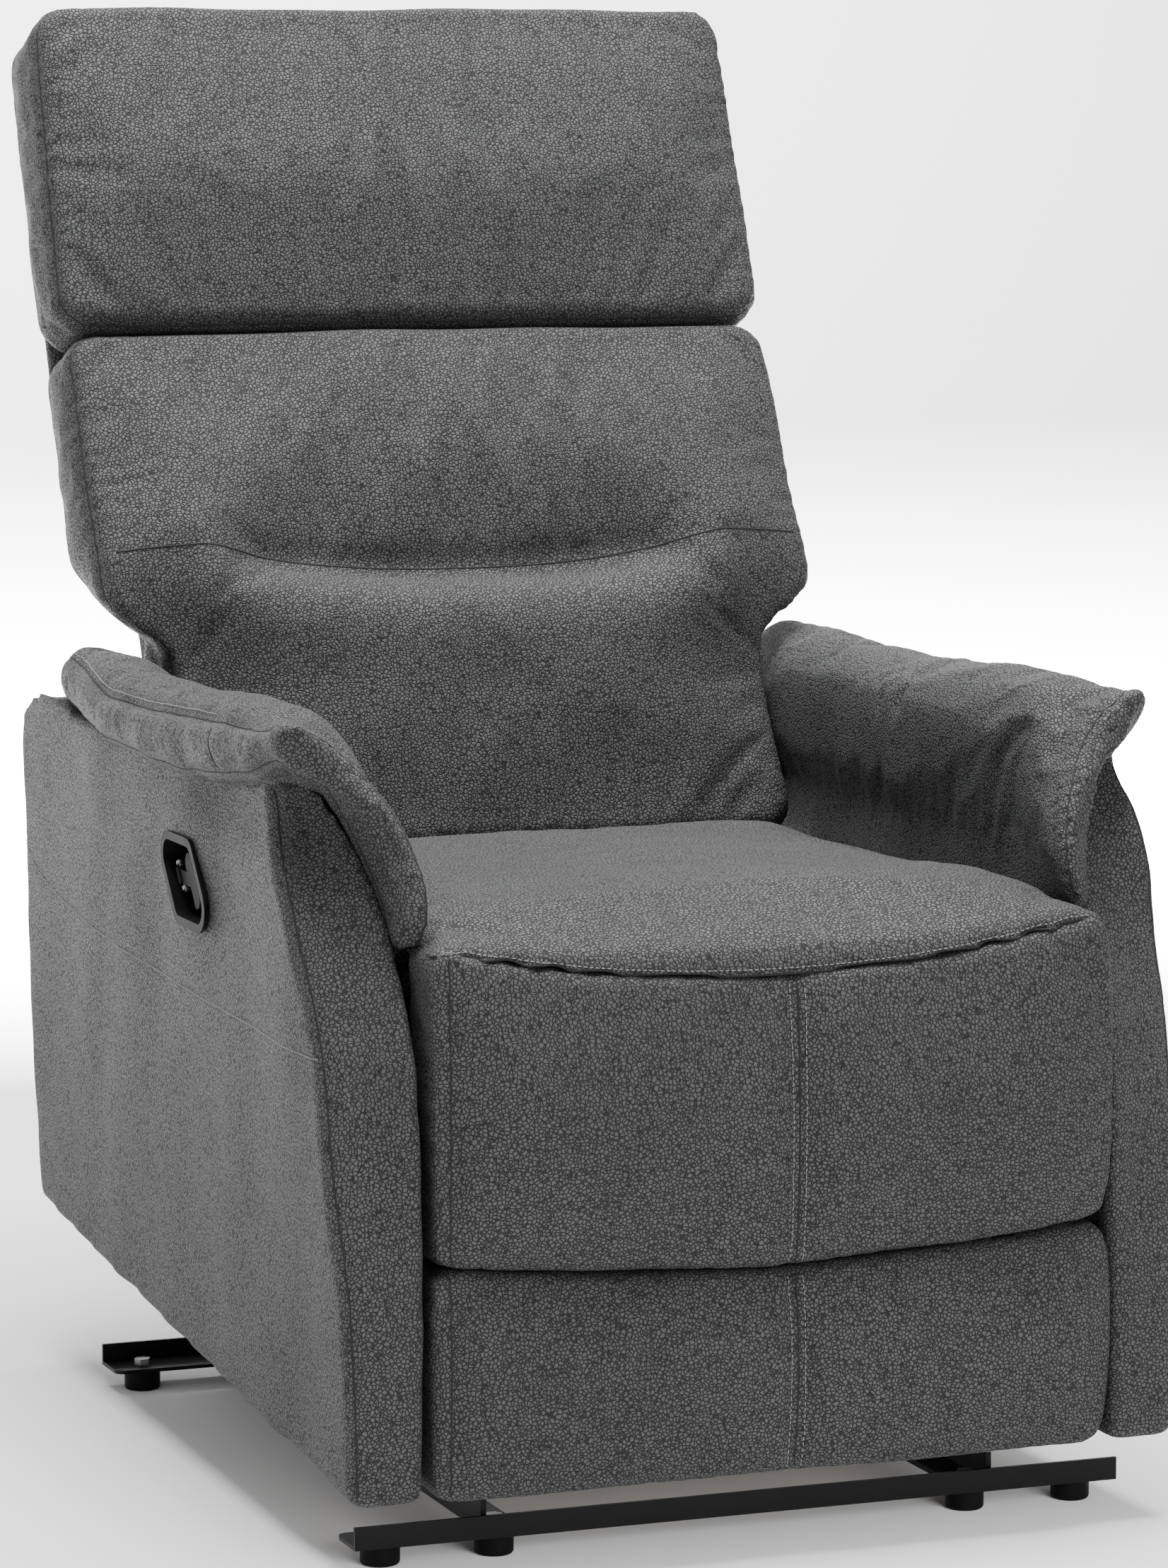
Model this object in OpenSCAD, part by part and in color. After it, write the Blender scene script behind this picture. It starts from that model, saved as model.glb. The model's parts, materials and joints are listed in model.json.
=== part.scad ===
// Recliner armchair on a low steel floor frame.
// Frame: X across the chair (+X is the sitter's left), -Y is the front, +Z up.
// The origin is on the floor, under the middle of the chair.

/* [Overall] */
// Depth of the seat, from its front lip to its rear edge
seat_depth = 545; // [500:5:620]
// Height of the arm tops above the floor
arm_top_z = 618; // [590:1:640]
// Distance between the inner faces of the arms
seat_gap = 528; // [490:1:580]
// Thickness of an arm at its foot
arm_thick = 58; // [54:1:75]

/* [Seat] */
// Height of the top of the seat cushion
seat_top_z = 460; // [440:1:490]
// Thickness of the seat cushion
seat_cushion_t = 52; // [44:1:60]
// Gap between the seat cushion and each arm
seat_side_gap = 5; // [2:0.5:10]
// Height of the seat cushion's front lip over the footrest
seat_lip_t = 19; // [14:1:24]
// Thickness of the wooden seat rails
rail_t = 24; // [16:1:28]
// Width of the wooden seat rails
rail_w = 40; // [30:1:50]

/* [Back] */
// Lean of the upright back from vertical, degrees
back_lean = 24; // [18:1:28]
// How far the back spreads over each arm
back_wing = 33; // [15:1:40]
// Gap between the lower back and each arm
back_side_gap = 16; // [14:1:30]
// Thickness of the back cushions
back_cushion_t = 98; // [80:1:110]
// Length of the head cushion
head_len = 282; // [230:1:300]
// Length of the lower back cushion
lower_back_len = 440; // [400:1:460]
// Gap between the head cushion and the lower cushion
head_gap = 6; // [3:0.5:12]
// Thickness of the back frame's rails
back_rail_t = 26; // [18:1:30]
// Thickness of the rear cover's shell
rear_cover_t = 3; // [2:0.25:3]

/* [Footrest] */
// Thickness of the footrest pads
pad_t = 55; // [40:1:58]
// Height of the crease between the two footrest pads
crease_z = 232; // [200:1:260]
// Height of the footrest's lower edge
footrest_bottom_z = 58; // [50:1:80]
// Thickness of the footrest board
board_t = 12; // [9:1:14]
// Length of each footrest link between pivots
foot_link_len = 140; // [120:1:145]

/* [Mechanism] */
// Length of each swing link between pivots
swing_len = 140; // [125:1:150]
// Half the distance between the two base pivots of a side
swing_half = 160; // [140:1:175]
// Thickness of the pressed steel links and plates
link_t = 4; // [3:0.5:4.5]
// Gap between neighbouring links
link_gap = 2; // [1.5:0.5:2.5]
// Width of the links
link_w = 24; // [20:1:28]
// Radius of the pivot rivets
rivet_r = 5; // [4:0.5:6]
// Radial running clearance of the pivots
pivot_clear = 0.05; // [0.02:0.01:0.1]
// Radial clearance of the open front swing pivot
open_pivot_clear = 1.5; // [1.3:0.1:2.5]

/* [Floor frame] */
// Half length of the cross angles
cross_half = 301; // [270:1:320]
// Height of the cross angles' upright flange
cross_h = 17; // [14:1:24]
// Depth of the cross angles' flat flange
cross_d = 43; // [36:1:50]
// Wall of the steel angles
steel_t = 3; // [2:0.5:4]
// Height of the floor glides
glide_h = 17; // [12:1:25]
// Radius of the floor glides
glide_r = 14.5; // [11:0.5:17]

/* [Release handle] */
// Length of the release cup
cup_len = 78; // [70:1:90]
// Height of the release cup
cup_h = 62; // [56:1:72]
// Depth of the release cup
cup_depth = 26; // [20:1:28]
// Wall of the release cup
cup_wall = 2.5; // [2:0.25:3]

/* [Hidden] */
$fn = 48;
soft = "#55575a";
steel = "#1b1b1c";
wood = "#c9a878";
plastic = "#161617";
skin_gap = 0.6;

// Lengths along the back, from its pivot
low_start = 78;
head_start = low_start + lower_back_len + head_gap;
back_top = head_start + head_len;
cover_rear = back_rail_t + 1.5 + rear_cover_t;

// Lengthwise places, measured from the front of the arms. The origin is midway
// between the front of the arms and the rear of the upright back
arm_nose = 2;
pivot_setback = 83;
pivot_run = seat_depth + pivot_setback;
overall_depth = pivot_run - arm_nose + cover_rear * cos(back_lean) + back_top * sin(back_lean);
front_y = -overall_depth / 2 - arm_nose;
pad_y = front_y + 13;
board_y = pad_y + pad_t;
cross_setback = 64;
cross_front_y = front_y + cross_setback;
cross_behind = 165;
cross_rear_y = front_y + seat_depth + cross_behind;
glide_inset = 24;
glide_y = [cross_front_y + glide_inset, cross_rear_y - glide_inset];
seat_rear_y = front_y + seat_depth + 18;
side_behind = 287;
side_rear_y = seat_rear_y + side_behind;
pad_behind = 175;
pad_rear_y = seat_rear_y + pad_behind;

// Sideways places, measured from the middle
arm_in_x = seat_gap / 2;
arm_out_x = arm_in_x + arm_thick;
web_x = arm_in_x - 66;
layer = link_t + link_gap;
swing_x = web_x + layer;
plate_x = swing_x + layer;
lower_x = plate_x + layer;
upper_x = lower_x + layer;
bracket_x = upper_x + layer;
glide_in_x = web_x - 11;
glide_out_x = cross_half - 27;
foot_half_w = arm_in_x - 4;
back_half_w = arm_in_x + back_wing;
back_low_half_w = arm_in_x - back_side_gap;

// Swing linkage: both links lean inwards by swing_lean at half travel
swing_lean = 8;
swing_half_travel = 13;
base_pivot_z = 70;
swing_mid_y = front_y + seat_depth / 2 + 105.5;
rear_lean0 = swing_half_travel - swing_lean;
coupler = 2 * (swing_half - swing_len * sin(swing_lean));
rear_base = [swing_mid_y + swing_half, base_pivot_z];
front_base = [swing_mid_y - swing_half, base_pivot_z];
rear_top = rear_base + swing_len * [sin(rear_lean0), cos(rear_lean0)];
// The front top pivot is where two circles meet
reach = rear_top - front_base;
reach_len = norm(reach);
along = (swing_len ^ 2 - coupler ^ 2 + reach_len ^ 2) / (2 * reach_len);
across = sqrt(swing_len ^ 2 - along ^ 2);
front_top = front_base + along * reach / reach_len + across * [-reach[1], reach[0]] / reach_len;

// Footrest linkage
foot_setback = 153;
foot_pivot_drop = 100;
foot_pivot = [front_y + foot_setback, seat_top_z - foot_pivot_drop];
upper_lean0 = 25;
foot_elbow = foot_pivot - [0, foot_link_len];
foot_end = foot_elbow + foot_link_len * [-sin(upper_lean0), cos(upper_lean0)];
footrest_top_z = seat_top_z - seat_lip_t - 2.5;

// Seat frame
seat_rail_z = seat_top_z - seat_cushion_t - rail_t - 6;
spring_z = seat_rail_z + rail_t;
seat_bottom_z = seat_top_z - seat_cushion_t;
rail_x = plate_x - 5;
frame_front_y = front_y + 96;
frame_rear_y = seat_rear_y + 37;

// Back pivot
back_pivot_drop = 120;
back_pivot = [front_y + pivot_run, seat_top_z - back_pivot_drop];
cushion_y = -back_cushion_t - 2;
post_w = 24;
post_x = lower_x + link_t + 0.3;

// Release cup, on the outer face of the right arm
cup_setback = 370;
cup_drop = 157;
cup_y = front_y + cup_setback;
cup_z = arm_top_z - cup_drop;
cup_slant = 54;
paddle_t = 5;
pin_r = 1.5;

// Bolts through the floor frame, the arms and the seat rails
bolt_r = 4;
bolt_foot_z = 5.5;

// Sizes of the smaller parts
bar_waist = 0.6;
tube_r = 7;
tie_r = 5;
plate_bolt_y = [foot_pivot[0] + 60, frame_rear_y - 40];
arm_bolt_y = [frame_front_y + 90, frame_rear_y - 90];
spring_wire = 3.5;
lip_z = arm_top_z - 72;
arm_side = [
  [front_y + arm_nose, 58], [front_y + arm_nose, 130], [front_y + 12, 225], [front_y + 30, 320],
  [front_y + 60, 400], [front_y + 108, 470], [front_y + 160, 525], [front_y + 180, arm_top_z - 52],
  [side_rear_y - 90, arm_top_z - 52], [side_rear_y - 30, arm_top_z - 66], [side_rear_y - 4, arm_top_z - 102],
  [side_rear_y, arm_top_z - 144], [side_rear_y - 12, 230], [side_rear_y - 38, 142]
];
pad_skin = 18;
arm_roll = [
  [arm_in_x, 62], [arm_in_x, arm_top_z - 163], [arm_in_x + 4, arm_top_z - 113], [arm_in_x + 17, arm_top_z - 75],
  [arm_in_x + 36, arm_top_z - 35], [arm_in_x + 52, arm_top_z - 8], [arm_in_x + 63, arm_top_z],
  [arm_in_x + 73, arm_top_z - 8], [arm_in_x + 78, arm_top_z - 26], [arm_in_x + 77, lip_z + 8],
  [arm_in_x + 72, lip_z], [arm_in_x + 56, lip_z - 2], [arm_in_x + 40, lip_z - 34],
  [arm_in_x + 26, lip_z - 76], [arm_in_x + 20, lip_z - 103], [arm_in_x + pad_skin, lip_z - 146],
  [arm_in_x + pad_skin, 62]
];
board_x = arm_in_x + pad_skin + skin_gap;
arm_board_t = 14;
cable_port = [front_y + 250, seat_top_z - 115];
cable_r = 2.5;
cup_face_x = arm_out_x + 8.5;
cup_corner = 15;
paddle_x = cup_face_x - 8;
paddle_lean = atan2(cup_slant, cup_h);
paddle_dir = [sin(paddle_lean), cos(paddle_lean)];
crossbar = [cup_y - 2, cup_z];
paddle_hinge = [cup_y + 29, cup_z];
knuckle_r = 4.5;
pin_len = 28;
cable_x = board_x + arm_board_t + skin_gap + cable_r + 0.4;
cable_route = [
  [cable_x + 0.5, 104, 92], [cable_x, 96, 84], [cable_x, 78, 66], [cable_x, 52, 44],
  [cable_x, 30, 24], [cable_x, 14, 9], [cable_x - 1, 3, 1.5], [cable_x - 3.6, 0, 0],
  [board_x + 6, 0, 0], [arm_in_x, 0, 0], [plate_x + link_t + 14, 0, 0], [plate_x + link_t + 1, 0, 0]
];
foot_tube_at = foot_pivot + [0, -foot_link_len * 0.5];
bracket_top = 190;
webbing_t = 1.5;
shoulder_z = low_start + 150;
cover_wing_z = shoulder_z + 157;
front_wing_z = shoulder_z + 57;
rear_wing_z = shoulder_z + 132;

// Mirrors a right-hand piece (the sitter's right is -X) to the asked side
module sided(s) {
  mirror([s < 0 ? 1 : 0, 0, 0]) children();
}

// Extrudes a side-view outline (Y, Z) along X
module side_sheet(x, t) {
  translate([x, 0, 0]) rotate([90, 0, 90]) linear_extrude(t) children();
}

// Extrudes a front-view outline (X, Z) along Y
module front_sheet(y, t) {
  translate([0, y + t, 0]) rotate([90, 0, 0]) linear_extrude(t) children();
}

// Flat bar between two points, with round ends a little wider than its shank

module bar2d(p, q, w) {
  d = q - p;
  translate(p) rotate(atan2(d[1], d[0])) translate([0, (bar_waist - w) / 2]) square([norm(d), w - bar_waist]);
  translate(p) circle(d = w);
  translate(q) circle(d = w);
}

// Cylinder along X
module rod_x(p, x0, x1, r) {
  translate([x0, p[0], p[1]]) rotate([0, 90, 0]) cylinder(r = r, h = x1 - x0);
}

// Rivet along X with a head at each end
module rivet_x(p, x0, x1, r) {
  rod_x(p, x0 - 3, x1 + 3, r);
  rod_x(p, x0 - 3, x0, r + 3);
  rod_x(p, x1, x1 + 3, r + 3);
}

module bore_x(p, r) {
  rod_x(p, 0, 400, r);
}

module soft_box(size, r) {
  hull()
    for (x = [r, size[0] - r], y = [r, size[1] - r], z = [r, size[2] - r])
      translate([x, y, z]) sphere(r = r, $fn = 16);
}

// Floor frame
module cross_angle(y, dir) {
  difference() {
    union() {
      translate([0, y, glide_h]) mirror([0, dir < 0 ? 1 : 0, 0]) {
        translate([-cross_half, 0, 0]) cube([2 * cross_half, steel_t, cross_h]);
        linear_extrude(steel_t) hull() {
          translate([-cross_half, 0]) square([2 * cross_half, 1]);
          for (s = [-1, 1]) translate([s * (cross_half - 8), cross_d - 8]) circle(r = 8, $fn = 32);
        }
      }
    }
    for (s = [-1, 1], x = [glide_in_x, glide_out_x])
      translate([s * x, y + dir * glide_inset, 0]) cylinder(r = bolt_r + pivot_clear, h = 60);
  }
}

module front_cross_angle() {
  color(steel) cross_angle(cross_front_y, 1);
}

module rear_cross_angle() {
  color(steel) cross_angle(cross_rear_y, -1);
}

module base_rail(s) {
  rail_z = glide_h + steel_t;
  rail_in = web_x - 26;
  length = cross_rear_y - cross_front_y - 2 * steel_t - 1;
  start = cross_front_y + steel_t + 0.5;
  sided(s) difference() {
    union() {
      translate([rail_in, start, rail_z]) cube([26 + link_t, length, link_t]);
      side_sheet(web_x, link_t) {
        translate([start + 6, rail_z]) square([length - 12, 24]);
        for (p = [rear_base, front_base]) bar2d(p, [p[0], rail_z + 14], 28);
      }
    }
    for (p = [rear_base, front_base]) bore_x(p, rivet_r + pivot_clear);
    for (y = glide_y)
      translate([glide_in_x, y, 0]) cylinder(r = bolt_r + pivot_clear, h = 60);
  }
}

module base_rail_right() {
  color(steel) base_rail(-1);
}

module base_rail_left() {
  color(steel) base_rail(1);
}

module glide_spots() {
  for (s = [-1, 1], x = [glide_in_x, glide_out_x], y = glide_y)
    translate([s * x, y, 0]) children();
}

module floor_glides() {
  color(plastic) glide_spots() difference() {
    rotate_extrude() {
      translate([0, 3]) square([glide_r, glide_h - 3]);
      square([glide_r - 3, glide_h]);
      translate([glide_r - 3, 3]) circle(r = 3);
    }
    translate([0, 0, 5]) cylinder(r = bolt_r + pivot_clear, h = glide_h);
  }
}

module base_bolts() {
  color(steel) for (s = [-1, 1], y = glide_y) {
    translate([s * glide_in_x, y, glide_h + steel_t + link_t]) cylinder(r = 6.5, h = 5, $fn = 6);
    translate([s * glide_in_x, y, bolt_foot_z]) cylinder(r = bolt_r, h = glide_h + steel_t + link_t + 1 - bolt_foot_z);
    translate([s * glide_out_x, y, bolt_foot_z]) cylinder(r = bolt_r, h = glide_h + steel_t + 0.5 - bolt_foot_z);
    translate([s * glide_out_x, y, glide_h + steel_t]) cylinder(r = 6.5, h = 5, $fn = 6);
  }
}

module base_pivot_rivets() {
  color(steel) for (s = [-1, 1], p = [rear_base, front_base])
    sided(s) rivet_x(p, web_x, swing_x + link_t + 0.2, rivet_r);
}

// Swing links
module rear_swing_link(s) {
  sided(s) difference() {
    side_sheet(swing_x, link_t) bar2d(rear_base, rear_top, link_w);
    for (p = [rear_base, rear_top]) bore_x(p, rivet_r + pivot_clear);
    bore_x((rear_base + rear_top) / 2, tube_r);
  }
}

module rear_swing_link_right() {
  color(steel) rear_swing_link(-1);
}

module rear_swing_link_left() {
  color(steel) rear_swing_link(1);
}

module swing_torque_tube() {
  mid = (rear_base + rear_top) / 2;
  end_x = swing_x + link_t;
  color(steel) difference() {
    rod_x(mid, -end_x, end_x, tube_r);
    rod_x(mid, -end_x - 1, end_x + 1, tube_r - 2);
  }
}

module front_swing_link(s) {
  sided(s) difference() {
    side_sheet(swing_x, link_t) {
      bar2d(front_base, front_top, link_w);
      translate(front_top) circle(r = link_w / 2 + 2);
    }
    bore_x(front_base, rivet_r + pivot_clear);
    bore_x(front_top, rivet_r + open_pivot_clear);
    bore_x(front_base + (front_top - front_base) * 0.5, tie_r);
  }
}

module front_swing_link_right() {
  color(steel) front_swing_link(-1);
}

module front_swing_link_left() {
  color(steel) front_swing_link(1);
}

module front_swing_tie_rod() {
  end_x = swing_x + link_t;
  color(steel) rod_x(front_base + (front_top - front_base) * 0.5, -end_x, end_x, tie_r);
}

// Side plates carry every pivot of the seat, the back and the footrest
module side_plate(s) {
  plate_top = seat_rail_z - link_t;
  flange_y0 = foot_pivot[0] + 36;
  sided(s) difference() {
    union() {
      side_sheet(plate_x, link_t) {
        bar2d(foot_pivot, [front_top[0], foot_pivot[1] - 14], 34);
        bar2d([front_top[0], foot_pivot[1] - 14], back_pivot, 34);
        bar2d(front_top, [front_top[0], foot_pivot[1] - 20], 32);
        bar2d(rear_top, [rear_top[0], back_pivot[1]], 32);
        translate([flange_y0, foot_pivot[1] - 14]) square([frame_rear_y - flange_y0, plate_top - foot_pivot[1] + 14]);
      }
      translate([plate_x, flange_y0, plate_top]) cube([30, frame_rear_y - flange_y0, link_t]);
    }
    for (p = [rear_top, front_top, foot_pivot, back_pivot]) bore_x(p, rivet_r + pivot_clear);
    for (y = plate_bolt_y) translate([plate_x + 20, y, 0]) cylinder(r = 3 + pivot_clear, h = 500);
    if (s < 0) bore_x(cable_port, cable_r + 0.5);
  }
}

module side_plate_right() {
  color(steel) side_plate(-1);
}

module side_plate_left() {
  color(steel) side_plate(1);
}

module swing_top_rivets() {
  color(steel) for (s = [-1, 1], p = [rear_top, front_top])
    sided(s) rivet_x(p, swing_x - 0.2, plate_x + link_t, rivet_r);
}

// Seat frame
module seat_side_rail(s) {
  sided(s) difference() {
    translate([rail_x, frame_front_y, seat_rail_z]) cube([rail_w, frame_rear_y - frame_front_y, rail_t]);
    for (y = plate_bolt_y) translate([plate_x + 20, y, 0]) cylinder(r = 3 + pivot_clear, h = 500);
    for (y = arm_bolt_y) rod_x([y, seat_rail_z + rail_t / 2], 0, 400, bolt_r + pivot_clear);
  }
}

module seat_side_rail_right() {
  color(wood) seat_side_rail(-1);
}

module seat_side_rail_left() {
  color(wood) seat_side_rail(1);
}

module cross_rail(y) {
  translate([-rail_x, y, seat_rail_z]) cube([2 * rail_x, rail_w, rail_t]);
}

module seat_front_rail() {
  color(wood) cross_rail(frame_front_y);
}

module seat_rear_rail() {
  color(wood) cross_rail(frame_rear_y - rail_w);
}

// Zigzag spring wire: half rings joined by short straights
module zigzag2d(length, count, width, wire) {
  pitch = length / count;
  ring = pitch / 2;
  for (i = [0 : count - 1]) {
    side = i % 2 == 0 ? 1 : -1;
    translate([side * (width / 2 - ring), (i + 0.5) * pitch]) difference() {
      circle(r = ring + wire / 2);
      circle(r = ring - wire / 2);
      translate([side > 0 ? -pitch : 0, -pitch]) square([pitch, 2 * pitch]);
    }
    translate([-(width / 2 - ring) * (i == 0 ? 0 : 1), i * pitch - wire / 2])
      square([(width / 2 - ring) * (i == 0 ? 1 : 2), wire]);
  }
  last = (count - 1) % 2 == 0 ? 0 : -1;
  translate([last * (width / 2 - ring), length - wire / 2]) square([width / 2 - ring, wire]);
}

module seat_springs() {
  start = frame_front_y + 14;
  length = frame_rear_y - frame_front_y - 28;
  color("silver") for (i = [-2 : 2])
    translate([i * 84, start, spring_z]) linear_extrude(spring_wire) zigzag2d(length, 15, 52, spring_wire);
}

module seat_cushion() {
  half = arm_in_x - seat_side_gap;
  color(soft) side_sheet(-half, 2 * half) difference() {
    hull() {
      translate([pad_y + 10, seat_top_z - 8]) circle(r = 8, $fn = 32);
      translate([pad_y + 2, seat_top_z - seat_lip_t]) square([10, 4]);
      translate([frame_front_y, seat_bottom_z]) square([10, 4]);
      translate([seat_rear_y - 10, seat_bottom_z]) square([10, 4]);
      translate([seat_rear_y - 12, seat_top_z - 12]) circle(r = 12, $fn = 32);
    }
    translate([front_y - 50, seat_bottom_z - 100])
      square([frame_front_y - 5 - front_y + 50, 100 + seat_cushion_t - seat_lip_t]);
  }
}

// Arms. The outline of an arm in side view, from the lower front corner upwards

// Cross-section of the arm pad: inner face, roll over the top, lip on the outside

module arm_pad(s) {
  sided(s) difference() {
    intersection() {
      front_sheet(front_y + 4, pad_rear_y - front_y - 4) polygon(arm_roll);
      side_sheet(arm_in_x - 10, 120) polygon([
        [front_y + 4, 62], [front_y + 4, arm_top_z - 128],
        [front_y + 12, arm_top_z - 73], [front_y + 34, arm_top_z - 34],
        [front_y + 66, arm_top_z - 10], [front_y + 100, arm_top_z + 2],
        [pad_rear_y - 30, arm_top_z + 2], [pad_rear_y, arm_top_z - 24],
        [pad_rear_y, 110]
      ]);
    }
    for (y = arm_bolt_y) rod_x([y, seat_rail_z + rail_t / 2], 0, 400, bolt_r + pivot_clear);
    rod_x(cable_port, 0, 400, cable_r + 1);
  }
}

module arm_pad_right() {
  color(soft) arm_pad(-1);
}

module arm_pad_left() {
  color(soft) arm_pad(1);
}

// Outline of the board, grown by a gap where the panel is pocketed for it
module board_outline(grow) {
  top = lip_z - 150 + grow;
  polygon([
    [front_y + 40 - grow, 80 - grow], [front_y + 62 - grow, 330], [front_y + 95 - grow, top],
    [side_rear_y - 34 + grow, top], [side_rear_y - 44 + grow, 230], [side_rear_y - 70 + grow, 160 - grow]
  ]);
}

module arm_board(s) {
  sided(s) difference() {
    side_sheet(board_x, arm_board_t) board_outline(0);
    for (y = arm_bolt_y) rod_x([y, seat_rail_z + rail_t / 2], 0, 400, bolt_r + pivot_clear);
    rod_x(cable_port, 0, 400, cable_r + 1);
  }
}

module arm_board_right() {
  color(wood) arm_board(-1);
}

module arm_board_left() {
  color(wood) arm_board(1);
}

// The panel stays under the pad's lip, and rises behind the pad's rear end
module arm_outer_panel(s) {
  sided(s) difference() {
    intersection() {
      side_sheet(board_x, 60) polygon(arm_side);
      union() {
        front_sheet(front_y - 10, pad_rear_y - front_y + 10.5) polygon([
          [board_x, 40], [arm_out_x, 40], [arm_out_x + 3, 300], [arm_out_x + 9, lip_z - 8],
          [arm_out_x + 2, lip_z - 4], [arm_in_x + 57, lip_z - 5], [arm_in_x + 41, lip_z - 36],
          [arm_in_x + 27, lip_z - 78], [arm_in_x + 21, lip_z - 104], [board_x, lip_z - 146]
        ]);
        front_sheet(pad_rear_y + 0.5, side_rear_y - pad_rear_y + 10) polygon([
          [board_x, 40], [arm_out_x, 40], [arm_out_x + 3, 300], [arm_out_x + 9, lip_z],
          [arm_out_x + 3, arm_top_z - 52], [board_x + 10, arm_top_z - 52], [board_x, arm_top_z - 70]
        ]);
      }
    }
    side_sheet(board_x - 1, arm_board_t + 1 + skin_gap) board_outline(skin_gap);
    if (s < 0) {
      cup_space();
      cable_space();
    }
  }
}

module arm_outer_panel_right() {
  color(soft) arm_outer_panel(-1);
}

module arm_outer_panel_left() {
  color(soft) arm_outer_panel(1);
}

module arm_bolts() {
  color(steel) for (s = [-1, 1], y = arm_bolt_y) sided(s) {
    rod_x([y, seat_rail_z + rail_t / 2], rail_x - 4, board_x + arm_board_t, 4);
    rod_x([y, seat_rail_z + rail_t / 2], rail_x - 8, rail_x, 8);
  }
}

// Release cup: a slanted rounded tray let into the outer panel

module cup_outline(grow) {
  slant = cup_slant / 2;
  hull()
    for (e = [-1, 1], f = [-1, 1])
      translate([cup_y + e * (cup_len / 2 - cup_corner) + f * slant * (1 - 2 * cup_corner / cup_h),
        cup_z + f * (cup_h / 2 - cup_corner)]) circle(r = cup_corner + grow, $fn = 32);
}

module cup_space() {
  side_sheet(cup_face_x - cup_depth - 1, cup_depth + 20) cup_outline(0.5);
}

module release_cup() {
  color(plastic) sided(-1) difference() {
    union() {
      side_sheet(cup_face_x - cup_depth, cup_depth) cup_outline(0);
      side_sheet(cup_face_x, 2) cup_outline(3);
    }
    side_sheet(cup_face_x - cup_depth + cup_wall, cup_depth + 10) cup_outline(-cup_wall - 1);
  }
}

// Paddle: a crossbar on a stem, hinged on a pin that slants like the cup

module along_pin(h) {
  translate([paddle_x, paddle_hinge[0], paddle_hinge[1]]) rotate([-paddle_lean, 0, 0])
    translate([0, 0, -h / 2]) children();
}

module release_paddle() {
  color(plastic) sided(-1) difference() {
    union() {
      side_sheet(paddle_x - paddle_t / 2, paddle_t) {
        bar2d(crossbar - 17 * paddle_dir, crossbar + 17 * paddle_dir, 14);
        bar2d(crossbar, paddle_hinge, 11);
      }
      along_pin(14) cylinder(r = knuckle_r, h = 14);
    }
    along_pin(40) cylinder(r = pin_r + pivot_clear, h = 40);
  }
}

module paddle_pin() {
  color("silver") sided(-1) along_pin(pin_len) cylinder(r = pin_r, h = pin_len);
}

module paddle_spring() {
  color("silver") sided(-1) along_pin(0) for (z = [10, -13]) translate([0, 0, z]) difference() {
    cylinder(r = 3.2, h = 3);
    translate([0, 0, -1]) cylinder(r = 2, h = 5);
  }
}

// Cable from the back of the cup, down inside the arm and in through its board
// to the side plate. Its points are in millimetres from the cable's port

function route_at(i) = [cable_route[i][0], cable_port[0] + cable_route[i][1], cable_port[1] + cable_route[i][2]];
function route_dir(i) =
  let (a = route_at(max(i - 1, 0)), b = route_at(min(i + 1, len(cable_route) - 1)))
  (b - a) / norm(b - a);
function ring(i, r, sides) =
  let (t = route_dir(i), u = cross(t, [0.3, -0.5, 0.81]), n = u / norm(u), m = cross(t, n))
  [for (k = [0 : sides - 1]) route_at(i) + r * (cos(360 * k / sides) * n + sin(360 * k / sides) * m)];

module cable_tube(r, sides) {
  rings = len(cable_route);
  points = [for (i = [0 : rings - 1]) each ring(i, r, sides)];
  walls = [for (i = [0 : rings - 2], k = [0 : sides - 1])
    let (a = i * sides + k, b = i * sides + (k + 1) % sides) each [[a, b, b + sides], [a, b + sides, a + sides]]];
  caps = [[for (k = [sides - 1 : -1 : 0]) k], [for (k = [0 : sides - 1]) (rings - 1) * sides + k]];
  polyhedron(points, concat(walls, caps));
}

module cable_space() {
  hull()
    for (i = [0, 7]) translate([cable_x - 4, route_at(i)[1], route_at(i)[2]]) rotate([0, 90, 0])
      cylinder(r = cable_r + 3, h = 4 + cable_r + 0.8);
}

module release_cable() {
  color(plastic) sided(-1) cable_tube(cable_r, 8);
}

// Footrest
module footrest_pivot_rivets() {
  color(steel) for (s = [-1, 1]) sided(s) rivet_x(foot_pivot, plate_x, lower_x + link_t + 0.2, rivet_r);
}

module footrest_lower_link(s) {
  sided(s) difference() {
    side_sheet(lower_x, link_t) bar2d(foot_pivot, foot_elbow, link_w);
    for (p = [foot_pivot, foot_elbow]) bore_x(p, rivet_r + pivot_clear);
    bore_x(foot_tube_at, tube_r);
  }
}

module footrest_lower_link_right() {
  color(steel) footrest_lower_link(-1);
}

module footrest_lower_link_left() {
  color(steel) footrest_lower_link(1);
}

module footrest_torque_tube() {
  end_x = lower_x + link_t;
  color(steel) difference() {
    rod_x(foot_tube_at, -end_x, end_x, tube_r);
    rod_x(foot_tube_at, -end_x - 1, end_x + 1, tube_r - 2);
  }
}

module footrest_elbow_rivets() {
  color(steel) for (s = [-1, 1]) sided(s) rivet_x(foot_elbow, lower_x, upper_x + link_t + 0.2, rivet_r);
}

module footrest_upper_link(s) {
  sided(s) difference() {
    side_sheet(upper_x, link_t) bar2d(foot_elbow, foot_end, link_w);
    for (p = [foot_elbow, foot_end]) bore_x(p, rivet_r + pivot_clear);
  }
}

module footrest_upper_link_right() {
  color(steel) footrest_upper_link(-1);
}

module footrest_upper_link_left() {
  color(steel) footrest_upper_link(1);
}

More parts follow.
